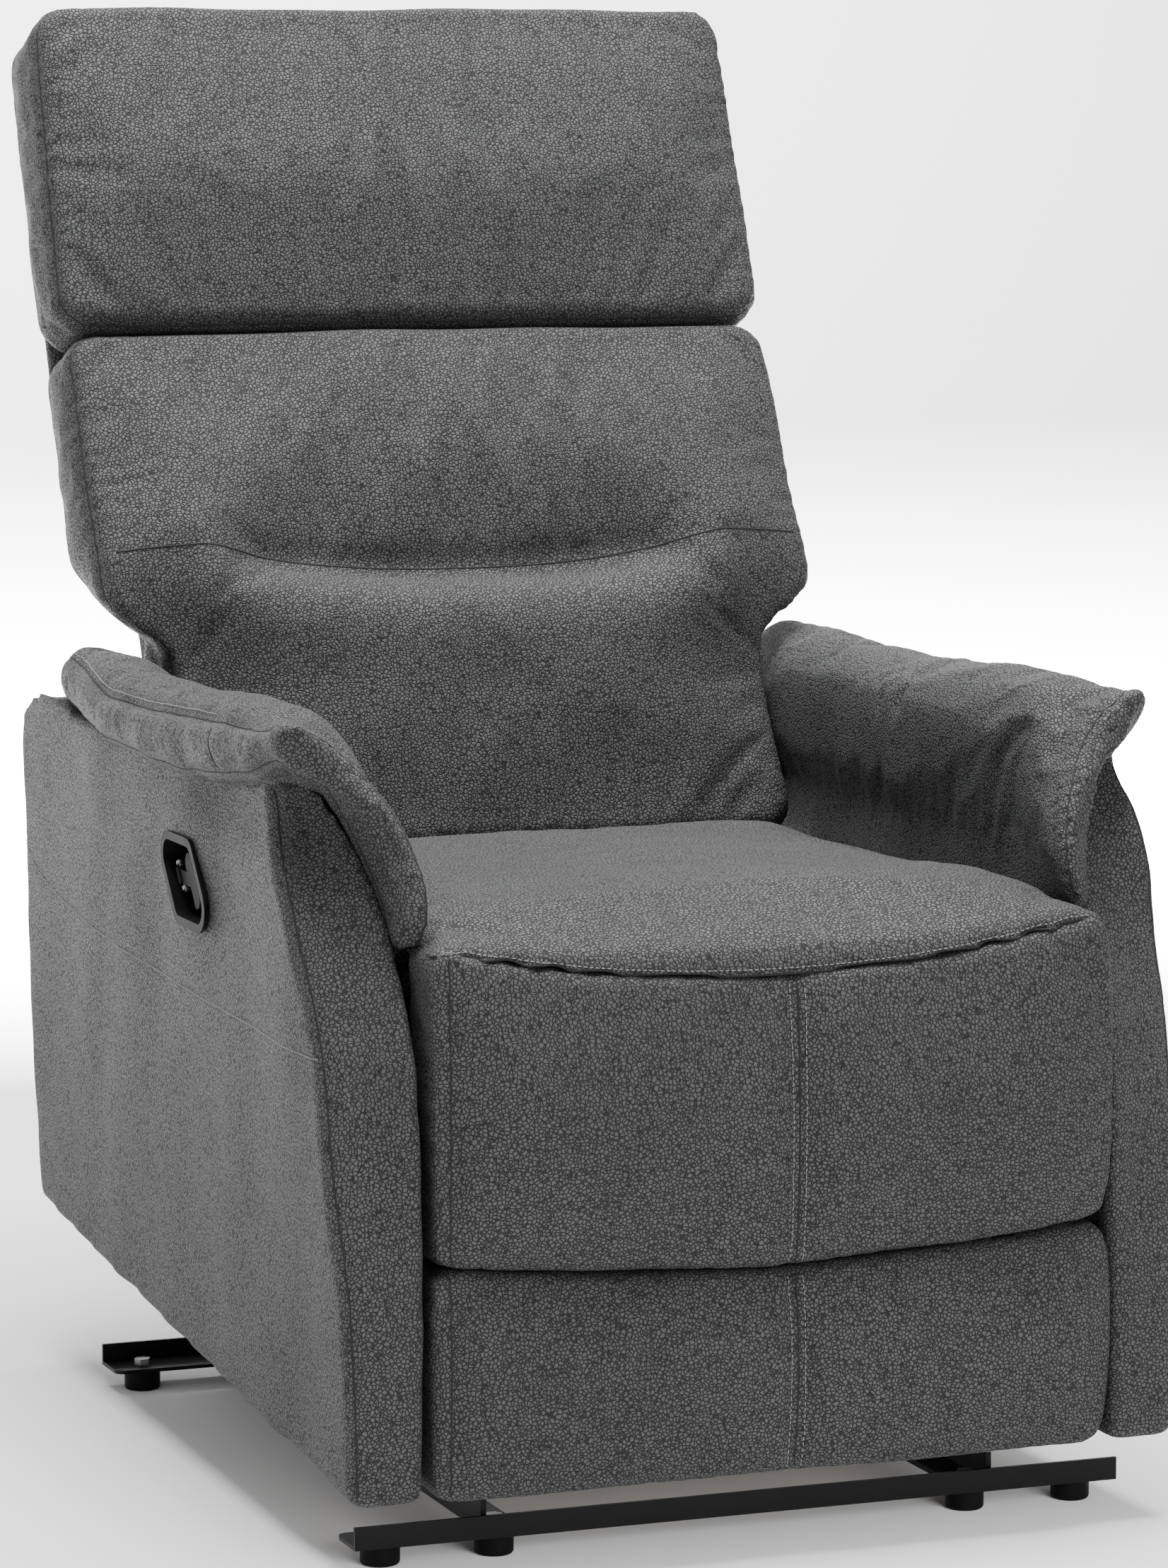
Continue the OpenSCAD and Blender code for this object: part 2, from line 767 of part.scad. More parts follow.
module footrest_bracket(s) {
  back = board_y + board_t;
  sided(s) difference() {
    union() {
      side_sheet(bracket_x, link_t) {
        translate(foot_end) circle(r = 12);
        translate([back, foot_end[1] - 45]) square([14, 90]);
        translate([back, foot_end[1] - 12]) square([foot_end[0] - back, 24]);
      }
      translate([bracket_x, back, foot_end[1] - 45]) cube([22, link_t - 1, 90]);
    }
    bore_x(foot_end, rivet_r + pivot_clear);
  }
}

module footrest_bracket_right() {
  color(steel) footrest_bracket(-1);
}

module footrest_bracket_left() {
  color(steel) footrest_bracket(1);
}

module footrest_end_rivets() {
  color(steel) for (s = [-1, 1]) sided(s) rivet_x(foot_end, upper_x - 0.2, bracket_x + link_t, rivet_r);
}

module footrest_board() {
  color(wood) translate([-foot_half_w + 8, board_y, footrest_bottom_z + 6])
    cube([2 * (foot_half_w - 8), board_t, footrest_top_z - footrest_bottom_z - 8]);
}

module footrest_pad(z0, z1) {
  r = 15;
  side_sheet(-foot_half_w, 2 * foot_half_w) hull()
    for (y = [pad_y + r, board_y - r - 0.3], z = [z0 + r, z1 - r]) translate([y, z]) circle(r = r, $fn = 32);
}

module footrest_upper_pad() {
  color(soft) footrest_pad(crease_z + 0.3, footrest_top_z);
}

module footrest_lower_pad() {
  color(soft) footrest_pad(footrest_bottom_z, crease_z - 0.3);
}

// Back, drawn upright about its pivot and leaned
module leaned() {
  translate([0, back_pivot[0], back_pivot[1]]) rotate([-back_lean, 0, 0]) children();
}

module back_pivot_bolts() {
  color(steel) for (s = [-1, 1]) sided(s) rivet_x(back_pivot, plate_x, lower_x + link_t + 0.2, rivet_r);
}

module back_bracket(s) {
  leaned() sided(s) difference() {
    side_sheet(lower_x, link_t) {
      bar2d([0, 0], [12, 40], 26);
      bar2d([12, 40], [12, bracket_top - 12], 22);
    }
    bore_x([0, 0], rivet_r + pivot_clear);
  }
}

module back_bracket_right() {
  color(steel) back_bracket(-1);
}

module back_bracket_left() {
  color(steel) back_bracket(1);
}

module back_post(s) {
  leaned() sided(s) translate([post_x, 1, 46]) cube([post_w, back_rail_t, back_top - 60]);
}

module back_post_right() {
  color(wood) back_post(-1);
}

module back_post_left() {
  color(wood) back_post(1);
}

module back_rail(z, h) {
  leaned() translate([-lower_x + 0.3, 1, z]) cube([2 * lower_x - 0.6, back_rail_t, h]);
}

module back_top_rail() {
  color(wood) back_rail(back_top - 60, 46);
}

module back_middle_rail() {
  color(wood) back_rail(head_start - 30, 46);
}

module back_bottom_rail() {
  color(wood) back_rail(46, 46);
}

module back_webbing() {
  color("#8a8a86") leaned() for (z = [130 : 90 : 430])
    translate([-post_x - post_w, -webbing_t + 0.6, z]) cube([2 * (post_x + post_w), webbing_t - 0.2, 50]);
}

module back_silhouette(inset) {
  bottom = 20;
  polygon([
    [-back_low_half_w + inset, bottom + inset], [back_low_half_w - inset, bottom + inset],
    [back_low_half_w - inset, shoulder_z], [back_half_w - inset, cover_wing_z],
    [back_half_w - inset, back_top - inset], [-back_half_w + inset, back_top - inset],
    [-back_half_w + inset, cover_wing_z], [-back_low_half_w + inset, shoulder_z]
  ]);
}

// Shell behind the back: a shallow tray over the frame, open to the front and
// cut away at its lower corners where the brackets pass
module rear_cover() {
  color(soft) leaned() difference() {
    front_sheet(-0.5, cover_rear + 0.5) back_silhouette(0);
    front_sheet(-2, cover_rear - rear_cover_t + 2) back_silhouette(rear_cover_t);
    translate([-back_half_w, -10, 0]) cube([2 * back_half_w, cover_rear - rear_cover_t + 10, 44]);
  }
}

// Fabric flap that closes the rear below the back
module rear_flap() {
  color(soft) translate([-arm_in_x + 3, back_pivot[0] + 62, 132]) cube([2 * arm_in_x - 6, 3, 202]);
}

// The wings over the arms are cut higher at the rear, so they clear the arms when reclined

module lower_back_cushion() {
  r = 16;
  top = low_start + lower_back_len;
  front = cushion_y + r;
  rear = -2 - r;
  color(soft) leaned() {
    hull() {
      for (s = [-1, 1], spot = [[front, front_wing_z + r], [rear, rear_wing_z + r], [front, top - r], [rear, top - r]])
        translate([s * (back_half_w - r), spot[0], spot[1]]) sphere(r = r, $fn = 16);
      for (s = [-1, 1], y = [front, rear])
        translate([s * (back_low_half_w - r), y, shoulder_z + r]) sphere(r = r, $fn = 16);
    }
    hull()
      for (s = [-1, 1], y = [front, rear], z = [low_start + r, shoulder_z + 2 * r])
        translate([s * (back_low_half_w - r), y, z]) sphere(r = r, $fn = 16);
  }
}

module head_cushion() {
  color(soft) leaned() translate([-back_half_w, cushion_y, head_start])
    soft_box([2 * back_half_w, back_cushion_t, head_len], 16);
}

front_cross_angle();
rear_cross_angle();
base_rail_right();
base_rail_left();
floor_glides();
base_bolts();
base_pivot_rivets();
rear_swing_link_right();
rear_swing_link_left();
swing_torque_tube();
front_swing_link_right();
front_swing_link_left();
front_swing_tie_rod();
side_plate_right();
side_plate_left();
swing_top_rivets();
seat_side_rail_right();
seat_side_rail_left();
seat_front_rail();
seat_rear_rail();
seat_springs();
seat_cushion();
arm_board_right();
arm_board_left();
arm_outer_panel_right();
arm_outer_panel_left();
arm_pad_right();
arm_pad_left();
arm_bolts();
release_cup();
release_paddle();
paddle_pin();
paddle_spring();
release_cable();
footrest_pivot_rivets();
footrest_lower_link_right();
footrest_lower_link_left();
footrest_torque_tube();
footrest_elbow_rivets();
footrest_upper_link_right();
footrest_upper_link_left();
footrest_bracket_right();
footrest_bracket_left();
footrest_end_rivets();
footrest_board();
footrest_upper_pad();
footrest_lower_pad();
back_pivot_bolts();
back_bracket_right();
back_bracket_left();
back_post_right();
back_post_left();
back_top_rail();
back_middle_rail();
back_bottom_rail();
back_webbing();
rear_cover();
rear_flap();
lower_back_cushion();
head_cushion();
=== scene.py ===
"""Recliner armchair: its padded covers, stitching, finishes and studio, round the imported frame."""

import json
import math

import bpy
import numpy as np
from bpy.props import FloatProperty, FloatVectorProperty, IntProperty, PointerProperty
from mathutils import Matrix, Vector
from mathutils.bvhtree import BVHTree


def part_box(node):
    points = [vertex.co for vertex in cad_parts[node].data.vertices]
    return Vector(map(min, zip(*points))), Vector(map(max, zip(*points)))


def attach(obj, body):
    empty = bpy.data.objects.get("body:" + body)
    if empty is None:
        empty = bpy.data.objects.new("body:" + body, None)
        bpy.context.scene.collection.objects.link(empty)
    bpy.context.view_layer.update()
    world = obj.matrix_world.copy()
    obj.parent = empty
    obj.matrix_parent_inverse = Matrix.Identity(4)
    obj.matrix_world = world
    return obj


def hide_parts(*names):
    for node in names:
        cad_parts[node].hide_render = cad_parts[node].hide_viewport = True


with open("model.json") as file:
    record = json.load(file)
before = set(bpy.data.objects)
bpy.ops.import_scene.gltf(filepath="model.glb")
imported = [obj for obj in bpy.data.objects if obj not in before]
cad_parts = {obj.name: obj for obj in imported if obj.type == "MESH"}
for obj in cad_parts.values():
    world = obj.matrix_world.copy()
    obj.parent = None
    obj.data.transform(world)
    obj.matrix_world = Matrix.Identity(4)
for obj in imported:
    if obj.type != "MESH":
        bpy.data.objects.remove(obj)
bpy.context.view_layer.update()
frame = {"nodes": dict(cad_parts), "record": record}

bl_info = {
    "name": "Recliner Armchair",
    "version": (1, 0, 0),
    "blender": (4, 5, 0),
    "location": "View3D > Sidebar > Recliner",
    "description": "Pads, covers and finishes a recliner armchair on its steel and timber frame",
    "category": "Object",
}

MM = 0.001
TINY = 1e-12  # keeps a division away from zero
SPECK = 1e-9  # a length too short to have a direction
BACK_LEAN = math.radians(24)
SIDES = {"right": -1, "left": 1}


# ---- Places taken from the frame ------------------------------------------------------------


def node_points(name):
    """The corners of a frame node, in metres."""
    return np.array([v.co for v in frame["nodes"][name].data.vertices], float)


def back_origin():
    """The back's pivot, from its two bolts."""
    low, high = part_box("back_pivot_bolts")
    return np.array([0, (low[1] + high[1]) / 2, (low[2] + high[2]) / 2])


def leaned(points):
    """Points in the back's own frame (across, rearwards, along the back), put in the chair's."""
    x, y, z = np.array(points, float).T
    c, s = math.cos(BACK_LEAN), math.sin(BACK_LEAN)
    return np.stack([x, y * c + z * s, z * c - y * s], 1) + back_origin()


def unleaned(points):
    """The other way round from leaned."""
    x, y, z = (np.array(points, float) - back_origin()).T
    c, s = math.cos(BACK_LEAN), math.sin(BACK_LEAN)
    return np.stack([x, y * c - z * s, y * s + z * c], 1)


def back_box(name):
    """Lowest and highest corner of a node in the back's own frame."""
    points = unleaned(node_points(name))
    return points.min(0), points.max(0)


# ---- Curves ---------------------------------------------------------------------------------


def ramp(value, low, high):
    """0 below low, 1 above high, and a smooth step between."""
    t = np.clip((np.asarray(value, float) - low) / (high - low), 0, 1)
    return t * t * (3 - 2 * t)


def bell(value, width):
    """1 at 0, and falling away on both sides over about width."""
    return np.exp(-((value / width) ** 2))


def run_along(path):
    """How far along the polyline each of its points is."""
    return np.concatenate([[0], np.cumsum(np.linalg.norm(np.diff(path, axis=0), axis=1))])


def places_at(path, run, spots):
    """The places on the polyline that are as far along it as spots say."""
    return np.stack([np.interp(spots, run, path[:, k]) for k in range(path.shape[1])], 1)


def resampled(path, step):
    """The same polyline with points about step apart."""
    path = np.array(path, float)
    run = run_along(path)
    count = max(2, int(round(run[-1] / step)) + 1)
    return places_at(path, run, np.linspace(0, run[-1], count))


CURVE_STEPS = 12
CORNER_POINTS = 7


def flowing(points, step=4 * MM, closed=False):
    """A smooth curve through points, with a point about every step."""
    points = np.array(points, float)
    if closed:
        wrapped = np.vstack([points[-1], points, points[:2]])
    else:
        wrapped = np.vstack([2 * points[0] - points[1], points, 2 * points[-1] - points[-2]])
    t = np.linspace(0, 1, CURVE_STEPS + 1)[:-1, None]
    parts = []
    for a, b, c, d in zip(wrapped, wrapped[1:], wrapped[2:], wrapped[3:]):
        parts.append(
            b + 0.5 * t * (c - a + t * (2 * a - 5 * b + 4 * c - d + t * (3 * (b - c) + d - a)))
        )
    parts.append(wrapped[-2][None])
    return resampled(np.vstack(parts), step)


def ring_of(points, count):
    """A closed smooth curve through points, as count points."""
    path = flowing(points, step=MM, closed=True)
    run = run_along(path)
    return places_at(path, run, np.linspace(0, run[-1], count, endpoint=False))


def rounded_outline(half_w, low, high, radius, step=5 * MM):
    """A closed rounded rectangle (across, up)."""
    corners = [(1, high, 0), (-1, high, 90), (-1, low, 180), (1, low, 270)]
    points = []
    for side, level, start in corners:
        centre_x = side * (half_w - radius)
        centre_z = level - radius if level == high else level + radius
        for turn in np.radians(np.linspace(start, start + 90, CORNER_POINTS)):
            points.append((centre_x + radius * math.cos(turn), centre_z + radius * math.sin(turn)))
    return resampled(points + points[:1], step)


def at_depth(outline, depth):
    """An outline (across, up) as points (across, depth, up)."""
    return np.stack([outline[:, 0], np.full(len(outline), depth), outline[:, 1]], 1)


def along_path(points, path):
    """For each point: its distance from path, and how far along path it is."""
    best = np.full(len(points), np.inf)
    travel = np.zeros(len(points))
    done = 0.0
    for a, b in zip(path[:-1], path[1:]):
        d = b - a
        length = np.linalg.norm(d)
        if length < SPECK:
            continue
        t = np.clip((points - a) @ d / length**2, 0, 1)
        gap = np.linalg.norm(points - a - t[:, None] * d, axis=1)
        nearer = gap < best
        best = np.where(nearer, gap, best)
        travel = np.where(nearer, done + t * length, travel)
        done += length
    return best, travel


def wander(points, wavelength, seed, waves=7):
    """A smooth value from about -1 to 1 that drifts over about wavelength."""
    draw = np.random.default_rng(seed)
    total = np.zeros(len(points))
    for _ in range(waves):
        direction = draw.normal(size=3)
        direction /= np.linalg.norm(direction)
        pace = 2 * math.pi / (wavelength * draw.uniform(0.7, 1.6))
        total += np.sin(points @ direction * pace + draw.uniform(0, 2 * math.pi))
    return total / math.sqrt(waves)


# ---- Meshes ---------------------------------------------------------------------------------


def mesh_piece(name, points, faces):
    """A new object from points and faces."""
    data = bpy.data.meshes.new(name)
    data.from_pydata([tuple(p) for p in points], [], [tuple(f) for f in faces])
    data.update()
    piece = bpy.data.objects.new(name, data)
    bpy.context.scene.collection.objects.link(piece)
    return piece


def points_of(piece):
    """The piece's points, one row each."""
    flat = np.empty(len(piece.data.vertices) * 3)
    piece.data.vertices.foreach_get("co", flat)
    return flat.reshape(-1, 3)


def normals_of(piece):
    """The way that the surface faces at each of the piece's points."""
    flat = np.empty(len(piece.data.vertices) * 3)
    piece.data.vertices.foreach_get("normal", flat)
    return flat.reshape(-1, 3)


def put_points(piece, points):
    """Moves the piece's points."""
    piece.data.vertices.foreach_set("co", np.ascontiguousarray(points, float).ravel())
    piece.data.update()


def bake_modifiers(piece):
    """Leaves the piece with its modified mesh and no modifiers."""
    graph = bpy.context.evaluated_depsgraph_get()
    made = bpy.data.meshes.new_from_object(piece.evaluated_get(graph))
    plain = piece.data
    piece.modifiers.clear()
    piece.data = made
    bpy.data.meshes.remove(plain)
    made.name = piece.name


def remesh(piece, voxel, smoothing=4):
    """Even quads all over, a voxel wide."""
    grid = piece.modifiers.new("Grid", "REMESH")
    grid.mode = "VOXEL"
    grid.voxel_size = voxel
    ease = piece.modifiers.new("Ease", "SMOOTH")
    ease.factor = 0.5
    ease.iterations = smoothing
    bake_modifiers(piece)


def finish_surface(piece, levels=1):
    """Subdivides and shades smooth."""
    if levels:
        finer = piece.modifiers.new("Finer", "SUBSURF")
        finer.levels = finer.render_levels = levels
        bake_modifiers(piece)
    piece.data.polygons.foreach_set("use_smooth", [True] * len(piece.data.polygons))
    piece.data.update()


def lattice(counts):
    """Points from -1 to 1 and quads on the surface of a box cut into counts cells."""
    index, points, quads = {}, [], []

    def spot(c):
        if c not in index:
            index[c] = len(points)
            points.append(c)
        return index[c]

    for axis in range(3):
        u, v = (axis + 1) % 3, (axis + 2) % 3
        for side in (0, counts[axis]):
            for i in range(counts[u]):
                for j in range(counts[v]):
                    quad = []
                    for du, dv in ((0, 0), (1, 0), (1, 1), (0, 1)):
                        c = [0, 0, 0]
                        c[axis], c[u], c[v] = side, i + du, j + dv
                        quad.append(spot(tuple(c)))
                    quads.append(quad if side else quad[::-1])
    return np.array(points, float) / np.array(counts) * 2 - 1, quads


def soft_block(name, half, edge, corner, shape, cell=8 * MM):
    """A box with rounded edges, and rounder corners seen from the front, passed through shape."""
    half = np.array(half, float)
    unit, quads = lattice([max(4, int(round(2 * h / cell))) for h in half])
    p = unit * half
    inner = np.clip(p, edge - half, half - edge)
    d = p - inner
    length = np.maximum(np.linalg.norm(d, axis=1, keepdims=True), TINY)
    p = np.where(length > SPECK, inner + d / length * edge, p)
    flat, room = p[:, [0, 2]], half[[0, 2]] - corner
    q = np.clip(flat, -room, room)
    d = flat - q
    reach = np.maximum(np.linalg.norm(d, axis=1, keepdims=True), TINY)
    p[:, [0, 2]] = q + d * (np.abs(d).max(1, keepdims=True) / reach)
    return mesh_piece(name, shape(p), quads)


def skin_faces(rows, cols):
    """Quads over rows of cols points that close on themselves, and a cap on each end."""
    faces = []
    for row in range(rows - 1):
        here, ahead = row * cols, (row + 1) * cols
        for c in range(cols):
            beside = (c + 1) % cols
            faces.append((here + c, here + beside, ahead + beside, ahead + c))
    faces.append(tuple(range(cols))[::-1])
    faces.append(tuple((rows - 1) * cols + c for c in range(cols)))
    return faces


def loft(name, rings):
    """A closed skin through rings that all have the same number of points."""
    rings = np.array(rings, float)
    rows, cols = rings.shape[:2]
    return mesh_piece(name, rings.reshape(-1, 3), skin_faces(rows, cols))


# ---- Padding --------------------------------------------------------------------------------


# How heavy the cover is, and how it resists stretching, shearing and folding
CLOTH = {
    "mass": 0.3,
    "tension_stiffness": 15,
    "compression_stiffness": 15,
    "shear_stiffness": 5,
    "bending_stiffness": 1.5,
    "air_damping": 1,
}


def swell(piece, held, cap, pressure=None):
    """Fills the piece like a cushion by cloth simulation. held is 1 where a point stays put.
    A point moves by at most cap."""
    settings = bpy.context.scene.recliner_padding
    rest = points_of(piece)
    held = np.clip(held, 0, 1)
    group = piece.vertex_groups.new(name="held")
    for level in np.unique(np.round(held, 1)):
        chosen = np.flatnonzero(np.round(held, 1) == level).tolist()
        group.add(chosen, float(level), "REPLACE")
    cloth = piece.modifiers.new("Cloth", "CLOTH")
    cloth.settings.quality = settings.quality
    for key, value in CLOTH.items():
        setattr(cloth.settings, key, value)
    cloth.settings.use_pressure = True
    cloth.settings.uniform_pressure_force = pressure or settings.pressure
    cloth.settings.effector_weights.gravity = 0
    cloth.settings.vertex_group_mass = group.name
    cloth.settings.shrink_min = -settings.slack
    cloth.point_cache.frame_start = 1
    cloth.point_cache.frame_end = settings.frames
    for step in range(1, settings.frames + 1):
        bpy.context.scene.frame_set(step)
    graph = bpy.context.evaluated_depsgraph_get()
    moved = piece.evaluated_get(graph)
    flat = np.empty(len(rest) * 3)
    moved.data.vertices.foreach_get("co", flat)
    piece.modifiers.clear()
    piece.vertex_groups.clear()
    shift = flat.reshape(-1, 3) - rest
    far = np.maximum(np.linalg.norm(shift, axis=1, keepdims=True), SPECK)
    put_points(piece, rest + shift * np.minimum(1, cap / far))
    bpy.context.scene.frame_set(1)


def held_near(points, paths, width):
    """1 on the seams, falling to 0 within width."""
    held = np.zeros(len(points))
    for path in paths:
        gap, _ = along_path(points, path)
        held = np.maximum(held, 1 - ramp(gap, 0.25 * width, width))
    return held


def groove(piece, path, width, depth, lift=0.0):
    """Pulls the surface in along a seam, with a small swelling on both sides of it."""
    points = points_of(piece)
    gap, _ = along_path(points, path)
    pull = depth * bell(gap, width) - lift * bell(gap - 2.5 * width, width)
    put_points(piece, points - normals_of(piece) * pull[:, None])


def gather(piece, path, reach, depth, pitch, seed, keep=None):
    """Small folds that run away from a seam."""
    points = points_of(piece)
    gap, travel = along_path(points, path)
    drift = wander(points, 6 * pitch, seed)
    fold = np.cos(2 * math.pi * travel / pitch + 2.2 * drift) * np.exp(-gap / reach)
    fold *= ramp(gap, 0, 0.25 * reach) * (0.65 + 0.35 * wander(points, 9 * pitch, seed + 1))
    if keep is not None:
        fold *= keep(points)
    put_points(piece, points + normals_of(piece) * (depth * fold)[:, None])


def ripple(piece, depth, wavelength, seed):
    """The slight unevenness of padding under a cover."""
    points = points_of(piece)
    rise = depth * wander(points, wavelength, seed)
    put_points(piece, points + normals_of(piece) * rise[:, None])


# ---- Sewing ---------------------------------------------------------------------------------


RAY_START = 0.12
SEAM_SINK = 0.35
# A stitch is six steps long with its gap; it rises out of the cover and thins at its ends
STITCH_STEPS = 6
STITCH_RISE = np.array([-0.2, 0.7, 1.0, 0.7, -0.2])
STITCH_GIRTH = np.array([0.5, 1, 1, 1, 0.5])


def laid_on(piece, path, lift, toward=None):
    """A path moved onto the piece's surface, and the surface's normals there.
    With toward, the path drops onto the surface in that direction."""
    tree = BVHTree.FromPolygons(
        [v.co.copy() for v in piece.data.vertices],
        [tuple(f.vertices) for f in piece.data.polygons],
    )
    spots, ups = [], []
    for p in path:
        spot = up = None
        if toward is not None:
            spot, up, _, _ = tree.ray_cast(Vector(p - RAY_START * toward), Vector(toward))
        if spot is None:
            spot, up, _, _ = tree.find_nearest(Vector(p))
        spots.append(np.array(spot) + np.array(up) * lift)
        ups.append(np.array(up))
    spots = np.array(spots)
    spots[1:-1] = (spots[:-2] + 2 * spots[1:-1] + spots[2:]) / 4
    return spots, np.array(ups)


def tube(path, ups, radius, sides=6):
    """Points and faces of a round tube along path, for a thread or a painted seam shadow."""
    path = np.array(path, float)
    forward = np.gradient(path, axis=0)
    forward /= np.maximum(np.linalg.norm(forward, axis=1, keepdims=True), TINY)
    across = np.cross(forward, ups)
    across /= np.maximum(np.linalg.norm(across, axis=1, keepdims=True), TINY)
    top = np.cross(across, forward)
    turns = np.linspace(0, 2 * math.pi, sides, endpoint=False)
    radius = np.broadcast_to(radius, (len(path),))
    points = np.concatenate(
        [
            p + r * (np.cos(turns)[:, None] * a + np.sin(turns)[:, None] * t)
            for p, r, a, t in zip(path, radius, across, top)
        ]
    )
    return points, skin_faces(len(path), sides)


def joined(parts):
    """Several (points, faces) as one."""
    points, faces, count = [], [], 0
    for some, their in parts:
        points.append(some)
        faces += [tuple(i + count for i in f) for f in their]
        count += len(some)
    return np.vstack(points), faces


def sewn_on(name, piece, parts, material):
    """A piece of thread, or a painted seam shadow, that goes with its cushion."""
    points, faces = joined(parts)
    thread = mesh_piece(name, points, faces)
    thread.parent = piece
    thread.data.materials.append(finish(material))
    finish_surface(thread, 0)
    return thread


def seam(name, piece, paths, toward=None):
    """A near-black tube sunk in a seam's groove: painted shadow along the seam."""
    sizes = bpy.context.scene.recliner_sewing
    parts = []
    for path in paths:
        sink = -SEAM_SINK * sizes.seam_shadow_radius
        spots, ups = laid_on(piece, resampled(path, 3 * MM), sink, toward)
        parts.append(tube(spots, ups, sizes.seam_shadow_radius))
    # the tube gets the near-black painted seam shadow finish
    return sewn_on(name, piece, parts, "painted_seam_shadow")


def topstitch(name, piece, paths):
    """Rows of separate stitches along paths."""
    sizes = bpy.context.scene.recliner_sewing
    pitch = sizes.stitch_length + sizes.stitch_gap
    parts = []
    for path in paths:
        spots, ups = laid_on(piece, resampled(path, pitch / STITCH_STEPS), 0.0)
        for start in range(0, len(spots) - STITCH_STEPS, STITCH_STEPS):
            chosen = slice(start, start + len(STITCH_RISE))
            rise = STITCH_RISE[:, None] * sizes.thread_radius
            girth = STITCH_GIRTH * sizes.thread_radius
            parts.append(tube(spots[chosen] + ups[chosen] * rise, ups[chosen], girth, 5))
    return sewn_on(name, piece, parts, "sewing_thread")


# ---- Finishes -------------------------------------------------------------------------------


class Signal:
    """One output in a material's nodes. Arithmetic on it adds Math nodes."""

    def __init__(self, graph, socket):
        self.graph = graph
        self.socket = socket

    def _math(self, operation, first, second):
        """One Math node."""
        return self.graph.node("ShaderNodeMath", {"operation": operation}, {0: first, 1: second})

    def __add__(self, other):
        return self._math("ADD", self, other)

    def __radd__(self, other):
        return self._math("ADD", other, self)

    def __sub__(self, other):
        return self._math("SUBTRACT", self, other)

    def __rsub__(self, other):
        return self._math("SUBTRACT", other, self)

    def __mul__(self, other):
        return self._math("MULTIPLY", self, other)

    def __rmul__(self, other):
        return self._math("MULTIPLY", other, self)

    def __pow__(self, other):
        return self._math("POWER", self, other)

    def step(self, low, high):
        """0 below low and 1 above high, smooth between."""
        return self.graph.node(
            "ShaderNodeMapRange",
            {"interpolation_type": "SMOOTHSTEP"},
            {"Value": self, "From Min": low, "From Max": high},
        )


class Graph:
    """The nodes of one material."""

    def __init__(self, name):
        self.material = bpy.data.materials.new(name)
        self.material.use_nodes = True
        self.tree = self.material.node_tree
        self.shader = self.tree.nodes["Principled BSDF"]

    def node(self, kind, settings, sockets, output=0):
        """A node with its settings and its sockets' values or links, as its output."""
        made = self.tree.nodes.new(kind)
        for key, value in settings.items():
            setattr(made, key, value)
        for key, value in sockets.items():
            self.plug(made.inputs[key], value)
        return Signal(self, made.outputs[output])

    def plug(self, socket, value):
        """Links a signal to the socket, or sets its value."""
        if isinstance(value, Signal):
            self.tree.links.new(value.socket, socket)
        else:
            socket.default_value = value

    def place(self, stretch=(1, 1, 1)):
        """The point on the piece, in metres, scaled by stretch."""
        spot = self.node("ShaderNodeTexCoord", {}, {}, "Object")
        return self.vector("MULTIPLY", spot, stretch)

    def vector(self, operation, first, second):
        """One Vector Math node."""
        return self.node("ShaderNodeVectorMath", {"operation": operation}, {0: first, 1: second})

    def noise(self, place, scale, detail=3.0, roughness=0.5):
        """Soft cloudy noise from 0 to 1."""
        return self.node(
            "ShaderNodeTexNoise",
            {},
            {"Vector": place, "Scale": scale, "Detail": detail, "Roughness": roughness},
        )

    def cell_edge(self, place, scale):
        """How far a point is from the edge of its cell."""
        return self.node(
            "ShaderNodeTexVoronoi",
            {"feature": "DISTANCE_TO_EDGE"},
            {"Vector": place, "Scale": scale},
        )

    def mix(self, share, first, second):
        """The first colour where share is 0, and the second where it is 1."""
        return self.node(
            "ShaderNodeMix", {"data_type": "RGBA"}, {0: share, 6: first, 7: second}, 2
        )

    def set(self, **values):
        """Sets or links sockets of the shader."""
        for key, value in values.items():
            self.plug(self.shader.inputs[key.replace("_", " ")], value)

    def bump(self, height, distance, strength=1.0):
        """Raises the surface by height, of which 1 stands for distance."""
        self.set(
            Normal=self.node(
                "ShaderNodeBump", {}, {"Height": height, "Distance": distance, "Strength": strength}
            )
        )


def rgba(colour, gain=1.0):
    """A colour made brighter or darker, with its alpha."""
    return (*(min(1.0, c * gain) for c in colour), 1.0)


# The two colours that each finish drifts between
TONES = {
    # painted_seam_shadow: near-black tones that paint the shadow in each seam's groove
    "painted_seam_shadow": ((0.008, 0.008, 0.009, 1), (0.024, 0.024, 0.025, 1)),
    "sewing_thread": ((0.13, 0.13, 0.135, 1), (0.24, 0.24, 0.25, 1)),
    "flap_cloth": ((0.012, 0.012, 0.013, 1), (0.045, 0.045, 0.047, 1)),
    "black_steel": ((0.002, 0.002, 0.002, 1), (0.005, 0.005, 0.005, 1)),
    "black_plastic": ((0.003, 0.003, 0.003, 1), (0.007, 0.007, 0.007, 1)),
    "cable_sheath": ((0.010, 0.010, 0.011, 1), (0.022, 0.022, 0.024, 1)),
    "spring_steel": ((0.42, 0.42, 0.43, 1), (0.22, 0.20, 0.18, 1)),
    "zinc_fasteners": ((0.26, 0.26, 0.27, 1), (0.42, 0.42, 0.42, 1)),
    "webbing": ((0.035, 0.034, 0.03, 1), (0.17, 0.165, 0.15, 1)),
    "timber": ((0.30, 0.185, 0.09, 1), (0.60, 0.44, 0.26, 1)),
}


